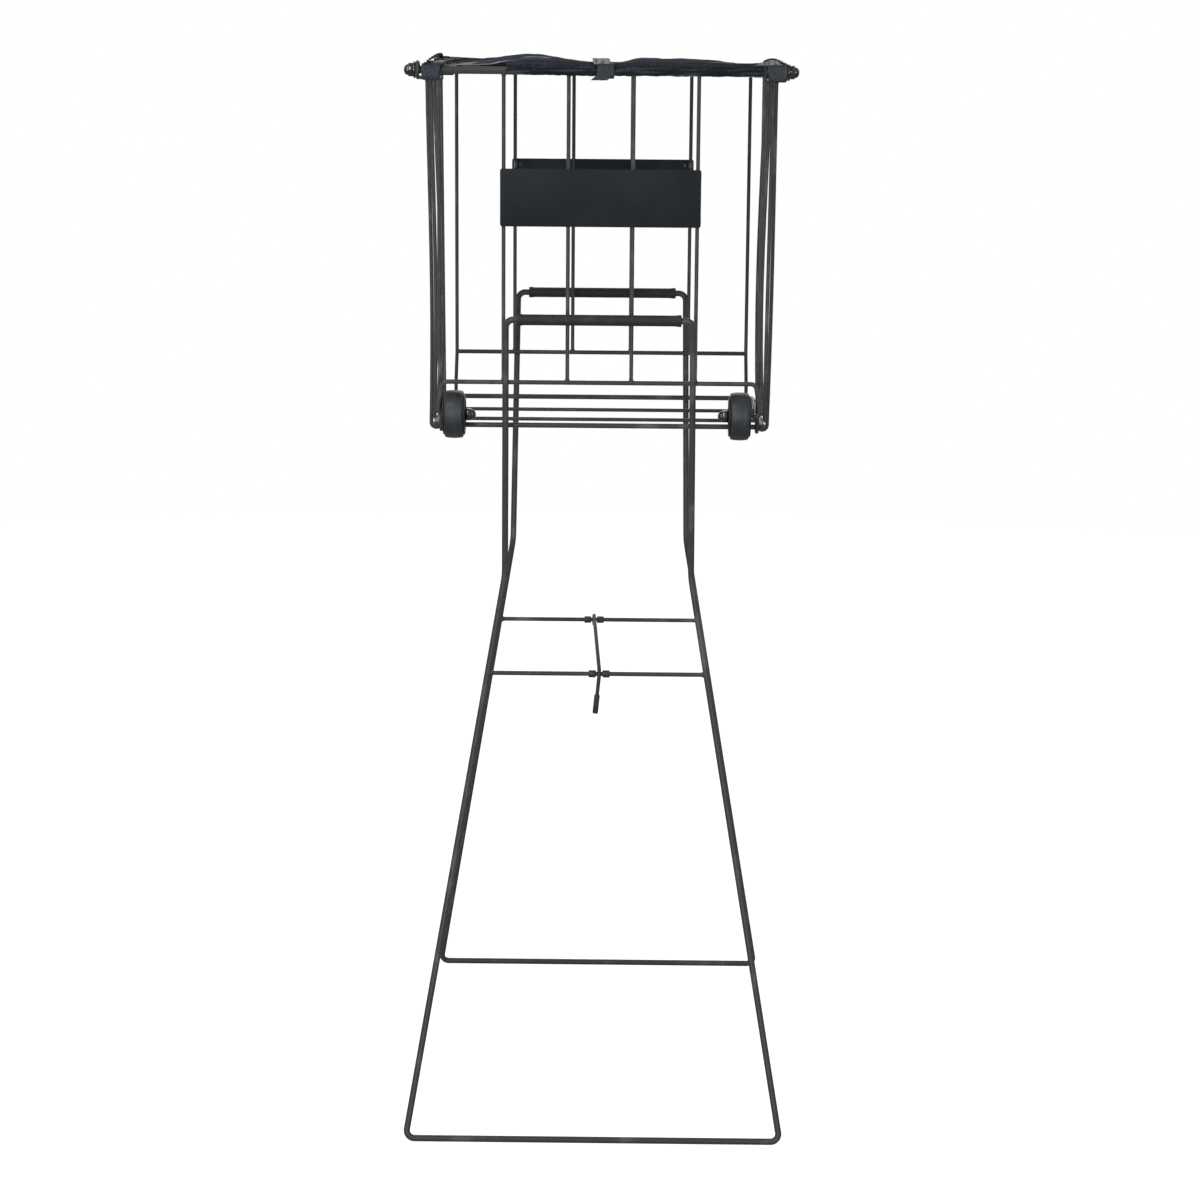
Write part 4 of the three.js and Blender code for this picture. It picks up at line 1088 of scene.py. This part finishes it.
def coverHeight(x, y):
    backShare = (min(y, lid["flapRear"]) - lid["flapFront"]) / (lid["flapRear"] - lid["flapFront"])
    sideShare = min(1, abs(x) / lid["flapHalf"])
    return lid["base"] + (lid["rise"] if x < 0 else lid["riseRight"]) * backShare * sideShare ** 2


# Each fold is a crest: its middle, half its length, its place and reach front to back, its height and bow
folds = [
    (-56, 36, -86, 5, 2.2, -18),
    (-50, 20, -96, 3.6, 1.7, -9),
    (-92, 24, -98, 3.5, 1.3, -5),
    (-26, 24, -92, 4, 1.2, -12),
    (-75, 38, -68, 8, 1.0, 12),
    (31, 26, -88, 5, 2.1, -18),
    (68, 34, -88, 5, 1.4, 6),
    (92, 22, -98, 4, 1.3, -8),
    (58, 52, -72, 8, 0.9, 12),
    (20, 60, -20, 14, 1.2, -22),
    (-70, 45, 12, 12, 1.4, 20),
    (40, 70, 48, 13, 1.3, 24),
    (-35, 60, 74, 10, 1.1, -18),
]
billows = [
    {"x": -54, "outer": 52, "inner": 38, "power": 2, "high": 6.9},
    {"x": 61, "outer": 52, "inner": 44, "power": 6, "high": 4.6},
]


def billowHigh(x):
    high = 0
    for billow in billows:
        reach = billow["outer"] if abs(x) > abs(billow["x"]) else billow["inner"]
        high += billow["high"] * math.exp(-abs((x - billow["x"]) / reach) ** billow["power"])
    return high * (1 - min(1, abs(x) / lid["flapHalf"]) ** 4)


def foldsNear(x, y, width):  # each fold that passes: its place, height, and how full and how near it is here
    for middle, half, place, reach, high, bow in folds:
        aside = (x - middle) / half
        if abs(aside) < 1:
            crest = place + bow * aside ** 2
            yield place, high, 1 - aside ** 2, hump(y - crest, width * reach)


def flapHeight(x, y):
    run = max(0, y - lid["flapFront"])
    share = min(1, run / (lid["flapRear"] - lid["flapFront"]))
    full = mix(lid["hem"], 1, 1 - math.exp(-run / lid["fill"])) * math.cos(math.pi / 2 * share ** 1.5)
    height = coverHeight(x, y) + billowHigh(x) * full
    pinned = min(1, lid["creaseRamp"] * share) * min(1, lid["creaseRamp"] * (1 - share))
    pinned *= min(1, lid["sideRamp"] * (1 - abs(x) / lid["flapHalf"]))
    for _, high, fullness, nearness in foldsNear(x, y, 1):
        height += high * fullness ** 1.5 * nearness * min(1, lid["foldRamp"] * share)
    creases = drift("crease", x, y) + lid["pucker"] * drift("pucker", x, y)
    height += lid["crease"] * pinned * creases
    return height - lid["hemDip"] * (1 - min(1, lid["hemRamp"] * share))


# Painted light on the cloth, from 0 for painted shade to 1 for a painted highlight on a crest; the frayed
# corner is lighter too
paintedLightAndFrayLevels = {
    "plain": 0.24,
    "seam": 0.13,
    "fold": 0.8,
    "foldEven": 0.6,
    "foldPatchy": 0.5,
    "backFold": 0.3,  # share of that for the folds behind this place
    "backFrom": -60,
    "narrow": 0.45,
    "hem": 0.7,
    "hemWide": 1.6,
    "frayX": -91,  # the corner where the zip starts is frayed
    "frayY": -84,
    "frayReachX": 11,
    "frayReachY": 14,
    "fray": 0.3,
    "frayUneven": 0.45,
}


def paintedLightAndFray(x, y):  # painted light: a painted highlight near the top of a fold and along the loose hem, and the frayed corner lighter
    near = 0.0
    for place, _, fullness, nearness in foldsNear(x, y, paintedLightAndFrayLevels["narrow"]):
        near += (1 if place < paintedLightAndFrayLevels["backFrom"] else paintedLightAndFrayLevels["backFold"]) * fullness * nearness
    bare = within((lid["sleeveLeft"] + lid["looseReach"] - x) / lid["looseReach"])
    # a painted highlight along the front hem where no sleeve holds it
    hem = paintedLightAndFrayLevels["hem"] * bare * hump(y - lid["flapFront"], paintedLightAndFrayLevels["hemWide"])
    sewn = min(lid["flapHalf"] - abs(x), lid["flapRear"] - y) < lid["seam"]  # a double layer along the zip
    light = paintedLightAndFrayLevels["seam"] if sewn else paintedLightAndFrayLevels["plain"]
    # a patchy painted highlight on the fold crests
    light += paintedLightAndFrayLevels["fold"] * near * (paintedLightAndFrayLevels["foldEven"] + paintedLightAndFrayLevels["foldPatchy"] * drift("wearAndHighlight", x, y))
    corner = within((paintedLightAndFrayLevels["frayX"] - x) / paintedLightAndFrayLevels["frayReachX"]) * within((paintedLightAndFrayLevels["frayY"] - y) / paintedLightAndFrayLevels["frayReachY"])
    return min(1, light + hem + corner * (paintedLightAndFrayLevels["fray"] + paintedLightAndFrayLevels["frayUneven"] * drift("fray", x, y)))


def clothPiece(name, rows, paintedLightAndFrayShares, body, node, pins=()):  # pins are the points that the simulation leaves
    made = gridPiece(name, rows, 0)
    if pins:
        settleCloth(made, pins, flapSim["grow"], flapSim["cap"], flapSim["frames"])
    # the crest attribute holds each point's painted light and shade, and the lighter fray, for the cloth's
    # colour
    crest = made.data.attributes.new("crest", "FLOAT", "POINT")
    crest.data.foreach_set("value", paintedLightAndFrayShares)
    thicken(made, lid["cloth"])
    seat(made, body, node, lidCloth)
    return made


flapSim = {"columns": 96, "rows": 82, "cap": 1.8, "frames": 18, "grow": -0.025}


def flapPlace(x, y):
    front = 1 - min(1, (y - lid["flapFront"]) / lid["looseReach"])
    loose = front * within((lid["sleeveLeft"] - x) / lid["looseFrom"])
    drop = lid["looseDrop"] - lid["hemUneven"] * drift("hem", x, 0.7)
    return at(x, y - lid["looseForward"] * loose, flapHeight(x, y) - loose * drop)


def settleCloth(piece, pins, grow, cap, frames):  # lets the sheet find its wrinkles close to where it lies
    laid = [vertex.co.copy() for vertex in piece.data.vertices]
    group = piece.vertex_groups.new(name="pins")
    group.add(pins, 1, "REPLACE")
    take(piece)
    cloth = piece.modifiers.new("cloth", "CLOTH")
    cloth.settings.quality = 6
    cloth.settings.mass = 0.15
    cloth.settings.tension_stiffness = 15
    cloth.settings.compression_stiffness = 15
    cloth.settings.bending_stiffness = 0.02
    cloth.settings.shrink_min = grow
    cloth.settings.vertex_group_mass = "pins"
    cloth.settings.effector_weights.gravity = 0.15
    cloth.point_cache.frame_end = frames
    for step in range(1, frames + 1):
        bpy.context.scene.frame_set(step)
    bpy.ops.object.modifier_apply(modifier="cloth")
    bpy.context.scene.frame_set(1)
    for vertex, start in zip(piece.data.vertices, laid):
        move = vertex.co - start
        if move.length > cap * mm:
            vertex.co = start + move.normalized() * cap * mm
    piece.vertex_groups.clear()


def makeFlap():
    rows, pins, paintedLightAndFrayShares = [], [], []
    for r in range(flapSim["rows"] + 1):
        y = mix(lid["flapFront"], lid["flapRear"], r / flapSim["rows"])
        row = []
        for c in range(flapSim["columns"] + 1):
            x = mix(-lid["flapHalf"], lid["flapHalf"], c / flapSim["columns"])
            if r in (0, flapSim["rows"]) or c in (0, flapSim["columns"]):
                pins.append(len(rows) * (flapSim["columns"] + 1) + c)
            row.append(flapPlace(x, y))
            paintedLightAndFrayShares.append(paintedLightAndFray(x, y))
        rows.append(row)
    return clothPiece("lid_flap_cloth", rows, paintedLightAndFrayShares, "lid", "lid_flap", pins)


sleeve = {"start": 238, "leave": 138, "rows": 26, "step": 1.6, "tail": 10.4, "under": 0.85,
          "tight": 3.45, "loosens": 62, "hemFrom": 22, "onRod": 0.6, "gather": 0.45, "slack": 0.35,
          "hemUneven": 9, "frayed": 0.75, "frayUneven": 0.6, "bandLight": 0.24, "streaks": 0.3,
          "gatherFrom": 0.15, "risePower": 0.9}


def makeSleeve():
    columns = round((lid["sleeveRight"] - lid["sleeveLeft"]) / sleeve["step"])
    rows, paintedLightAndFrayShares = [], []
    for r in range(sleeve["rows"] + 1):
        share = r / sleeve["rows"]
        row = []
        for c in range(columns + 1):
            x = mix(lid["sleeveLeft"], lid["sleeveRight"], c / columns)
            gather = drift("gather", x, share)
            slack = drift("slack", x, share)
            loose = min(1, (x - lid["sleeveLeft"]) / sleeve["loosens"])  # snug on the rod at its left end
            radius = mix(sleeve["tight"], lid["wrap"], loose)
            full = math.sin(math.pi * min(1, sleeve["gatherFrom"] + share))
            radius += loose * (sleeve["gather"] * gather * full + sleeve["slack"] * slack)
            lower = sleeve["start"] + sleeve["hemUneven"] * gather * (1 - share)
            turn = math.radians(mix(lower, sleeve["leave"], min(1, share / sleeve["onRod"])))
            y = radius * math.cos(turn)
            z = radius * math.sin(turn)
            if share > sleeve["onRod"]:
                run = (share - sleeve["onRod"]) / (1 - sleeve["onRod"])
                top = flapHeight(x, lid["flapFront"]) - basket["rim"] - sleeve["under"]
                y = mix(y, sleeve["tail"], run)
                z = mix(z, top, math.sin(math.pi / 2 * run) ** sleeve["risePower"])
            row.append(at(x, -basket["half"] + y, basket["rim"] + z))
            # painted shade on the sleeve's lower front, rising to the plain cloth colour at its top
            light = sleeve["bandLight"] * share ** 2
            # painted highlight streaks where the sleeve lies on the rod
            if share < sleeve["onRod"]:
                light += sleeve["streaks"] * drift("streak", x, share)
            if r <= 1 and x > sleeve["hemFrom"]:
                light += sleeve["frayed"] + sleeve["frayUneven"] * drift("sleeveHem", x, 2.6)
            paintedLightAndFrayShares.append(within(light))
        rows.append(row)
    return clothPiece("lid_sleeve_cloth", rows, paintedLightAndFrayShares, "basket", "lid_sleeve")


rim = {"x": 133.7, "y": 114.6, "corner": 14, "frontEnd": 2, "step": 2.4, "run": 93.3}


def rimPath(step):  # left side, rear, right side: place and the way inwards
    path = []
    cornerX, cornerY = rim["x"] - rim["corner"], rim["y"] - rim["corner"]
    startY = -rim["y"] + rim["frontEnd"]
    count = round((cornerY - startY) / step)
    path += [(-rim["x"], mix(startY, cornerY, k / count), 1, 0) for k in range(count)]
    turns = round(rim["corner"] * math.pi / 2 / step)
    for k in range(turns):
        turn = math.pi - math.pi / 2 * k / turns
        path.append((-cornerX + rim["corner"] * math.cos(turn), cornerY + rim["corner"] * math.sin(turn),
                     -math.cos(turn), -math.sin(turn)))
    count = round(cornerX / step)
    path += [(mix(-cornerX, 0, k / count), rim["y"], 0, -1) for k in range(count)]
    return path + [(0, rim["y"], 0, -1)] + [(-x, y, -a, b) for x, y, a, b in reversed(path)]


border = {"lean": 5.6, "railTop": 807.4, "rodTop": 812.2, "strapTop": 818.2, "hug": 2.1, "rodHug": 3.6,
          "railReach": 5, "rodReach": 12, "above": 0.75, "wave": 0.7, "columns": 7, "shade": 0.2,
          "leanPower": 1.4, "hugPower": 0.6, "risePower": 0.85}


def makeBorder():
    rows = []
    for x, y, inX, inY in rimPath(rim["step"]):
        top = coverHeight(x, y) + border["above"]
        onRail = within((rim["run"] - abs(y)) / border["railReach"])
        onRod = within((y - rim["run"]) / border["rodReach"])
        low = border["strapTop"] + (border["railTop"] - border["strapTop"]) * onRail
        low += (border["rodTop"] - border["strapTop"]) * onRod
        hug = border["hug"] * onRail + border["rodHug"] * onRod
        wave = border["wave"] * drift("border", x, y)
        row = []
        for k in range(border["columns"] + 1):
            share = k / border["columns"]
            inset = border["lean"] * share ** border["leanPower"] - hug * (1 - share) ** border["hugPower"]
            inset += wave * math.sin(math.pi * share)
            row.append(at(x + inX * inset, y + inY * inset, mix(low, top, share ** border["risePower"])))
        rows.append(row)
    paintedLightAndFrayShares = [border["shade"]] * len(rows) * len(rows[0])
    return clothPiece("lid_border_cloth", rows, paintedLightAndFrayShares, "basket", "lid_border")


flapPiece = makeFlap()
sleevePiece = makeSleeve()
borderPiece = makeBorder()
print("lid cloth laid")


chain = {"inset": 9.3, "tape": 0.5, "pitch": 2.5, "tooth": (2.4, 1.15, 1.5), "toothEdge": 0.3, "row": 0.75,
         "width": 7, "tailWidth": 3.6, "splitY": -86, "rightY": -92, "above": 0.5,
         "tailSteps": 6, "tapeShares": (-0.5, -0.17, 0.17, 0.5)}


def walk(points, pitch):  # even steps along a line of places
    line = [points[0]]
    spare = pitch
    for start, end in zip(points, points[1:]):
        run = (end - start).length
        while spare <= run:
            line.append(start.lerp(end, spare / run))
            spare += pitch
        spare -= run
    return line


def chainLine(offset):  # a row of teeth along the rim, a little to one side of the zip's middle
    line = []
    inset = chain["inset"] + offset
    for x, y, inX, inY in rimPath(rim["step"]):
        line.append(at(x + inX * inset, y + inY * inset, coverHeight(x, y) + chain["above"]))
    return line


frontTails = {
    "outerLeft": [(-123, -90, 822.2), (-122.2, -100, 824.2), (-121.6, -108, 825.4), (-124.5, -114.6, 824.4),
                  (-129, -118.4, 821.6), (-132.6, -119.6, 818.6)],
    "innerLeft": [(-122.2, -92, 822), (-120.4, -100, 822.9), (-117.4, -106.5, 823.1), (-112, -109.5, 822.6),
                  (-105.6, -110.5, 822.2)],
    "right": [(124.4, -92, 821.2), (126, -101, 822.4), (129.5, -109, 823.2), (134, -114.6, 821.6),
              (139, -118, 819), (143, -119.4, 817.2)],
}


def tailLine(name):
    return [spot * mm for spot in splineThrough(frontTails[name], chain["tailSteps"])]


def makeTooth():
    clearBench()
    bpy.ops.mesh.primitive_cube_add(size=1)
    tooth = bpy.context.view_layer.objects.active
    tooth.scale = at(*chain["tooth"])
    bpy.ops.object.transform_apply(location=False, rotation=False, scale=True)
    roundEdges(tooth, chain["toothEdge"] * mm, 1)
    return tooth


def teethAlong(shape, tooth, places, offsets):  # the offsets take turns along the line
    for i, place in enumerate(places):
        ahead = places[min(i + 1, len(places) - 1)] - places[max(i - 1, 0)]
        ahead.normalize()
        sideways = ahead.cross(upward).normalized()
        above = sideways.cross(ahead)
        offset = offsets[i % len(offsets)]
        turn = Matrix((sideways, ahead, above)).transposed().to_4x4()
        spot = Matrix.Translation(place + sideways * offset * mm) @ turn
        fresh = bmesh.ops.duplicate(shape, geom=tooth)["geom"]
        moved = [part for part in fresh if isinstance(part, bmesh.types.BMVert)]
        bmesh.ops.transform(shape, matrix=spot, verts=moved)


def tapeAlong(name, line, width):
    rows = []
    for i, place in enumerate(line):
        ahead = (line[min(i + 1, len(line) - 1)] - line[max(i - 1, 0)]).normalized()
        sideways = ahead.cross(upward).normalized()
        drop = upward * chain["tape"] * mm
        rows.append([place - drop + sideways * width * share * mm for share in chain["tapeShares"]])
    return gridPiece(name, rows, chain["tape"], levels=0)


def makeZip():
    middle = chainLine(0)
    outer, inner = chainLine(-chain["row"]), chainLine(chain["row"])
    first = 1 + max(i for i, place in enumerate(middle) if place.x < 0 and place.y < chain["splitY"] * mm)
    last = min(i for i, place in enumerate(middle) if place.x > 0 and place.y < chain["rightY"] * mm)
    rightTail = tailLine("right")
    onRim = middle[first:last]
    leftTails = [tailLine("outerLeft")[::-1] + outer[first:first + 3],
                 tailLine("innerLeft")[::-1] + inner[first:first + 3]]
    tooth = makeTooth()
    shape = bmesh.new()
    shape.from_mesh(tooth.data)
    pattern = shape.verts[:] + shape.edges[:] + shape.faces[:]
    row = chain["row"]
    teethAlong(shape, pattern, walk(onRim + rightTail, chain["pitch"] / 2 * mm), (row, -row))
    for line in leftTails:
        teethAlong(shape, pattern, walk(line, chain["pitch"] * mm)[:-2], (0,))
    bmesh.ops.delete(shape, geom=pattern[:len(tooth.data.vertices)], context="VERTS")
    teeth = fromMesh("zip_teeth_rows", [], [], [])
    shape.to_mesh(teeth.data)
    shape.free()
    bpy.data.objects.remove(tooth)
    tapes = [tapeAlong("zip_tape_main", onRim + rightTail[:1], chain["width"])]
    tapes += [tapeAlong("zip_tape_tail", line, chain["tailWidth"]) for line in (rightTail, *leftTails)]
    smooth(teeth, 50)
    made = join("zip_chain_teeth", teeth, *tapes)
    seat(made, "basket", "zip_chain", zipNylon)


makeZip()
for name in ("zip_slider", "zip_pull"):
    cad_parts[name].data.materials.clear()
    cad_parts[name].data.materials.append(blackHardware)
print("zip sewn in")


# Studio: pale floor, soft lamps, and a white surround

studio = {"floor": 6.0, "floorShade": 0.5, "floorGlow": 0.88, "ambient": 0.14}

clearBench()
bpy.ops.mesh.primitive_plane_add(size=studio["floor"], location=(0, 0, 0))
floorPlane = bpy.context.view_layer.objects.active
floorPlane.name = "studio_floor"


def makeFloorFinish():
    pale = Finish("studio_floor", Roughness=0.9, Specular_IOR_Level=0.1)
    pale.colour((0.75, 0.75, 0.75, 1))
    seen = Tap(pale, pale.node("LightPath").socket.node.outputs["Is Camera Ray"])
    glow = pale.node("Emission", {}, {"Color": (1, 1, 1, 1), "Strength": studio["floorGlow"]})
    lit = pale.node("BsdfDiffuse", {}, {"Color": (studio["floorShade"],) * 3 + (1,)})
    shown = pale.node("AddShader", {}, {0: glow, 1: lit})
    body = Tap(pale, pale.shader.outputs[0])
    both = pale.node("MixShader", {}, {0: seen, 1: body, 2: shown})
    pale.feed(pale.tree.nodes["Material Output"].inputs["Surface"], both)
    return pale.material


floorPlane.data.materials.append(makeFloorFinish())

world = bpy.data.worlds.new("studio_world")
bpy.context.scene.world = world
world.use_nodes = True
nodes, links = world.node_tree.nodes, world.node_tree.links
background = nodes["Background"]
background.inputs["Color"].default_value = (1, 1, 1, 1)
path = nodes.new("ShaderNodeLightPath")
seenMost = path.outputs["Is Camera Ray"]
for ray in ("Is Glossy Ray", "Is Transmission Ray"):
    larger = nodes.new("ShaderNodeMath")
    larger.operation = "MAXIMUM"
    links.new(seenMost, larger.inputs[0])
    links.new(path.outputs[ray], larger.inputs[1])
    seenMost = larger.outputs[0]
level = nodes.new("ShaderNodeMapRange")
level.inputs["To Min"].default_value = studio["ambient"]
level.inputs["To Max"].default_value = 1
links.new(seenMost, level.inputs["Value"])
links.new(level.outputs["Result"], background.inputs["Strength"])

lamps = [
    {"name": "left_strip", "place": (-0.6, -2.4, 0.9), "size": (0.3, 1.3), "power": 22},
    {"name": "right_strip", "place": (0.5, -2.5, 0.9), "size": (0.3, 1.3), "power": 14},
    {"name": "key_lamp", "place": (-0.7, -1.5, 2.2), "size": (0.9, 0.9), "power": 22},
    {"name": "rear_lamp", "place": (0.4, 1.8, 1.9), "size": (1.4, 1.4), "power": 12},
]
for lamp in lamps:
    data = bpy.data.lights.new(lamp["name"], "AREA")
    data.shape = "RECTANGLE"
    data.size, data.size_y = lamp["size"]
    data.energy = lamp["power"]
    holder = bpy.data.objects.new(lamp["name"], data)
    bpy.context.scene.collection.objects.link(holder)
    holder.location = lamp["place"]
    holder.rotation_euler = (at(0, 0, 450) - Vector(lamp["place"])).to_track_quat("-Z", "Y").to_euler()

bpy.context.scene.view_settings.view_transform = "Standard"
print("studio lit")
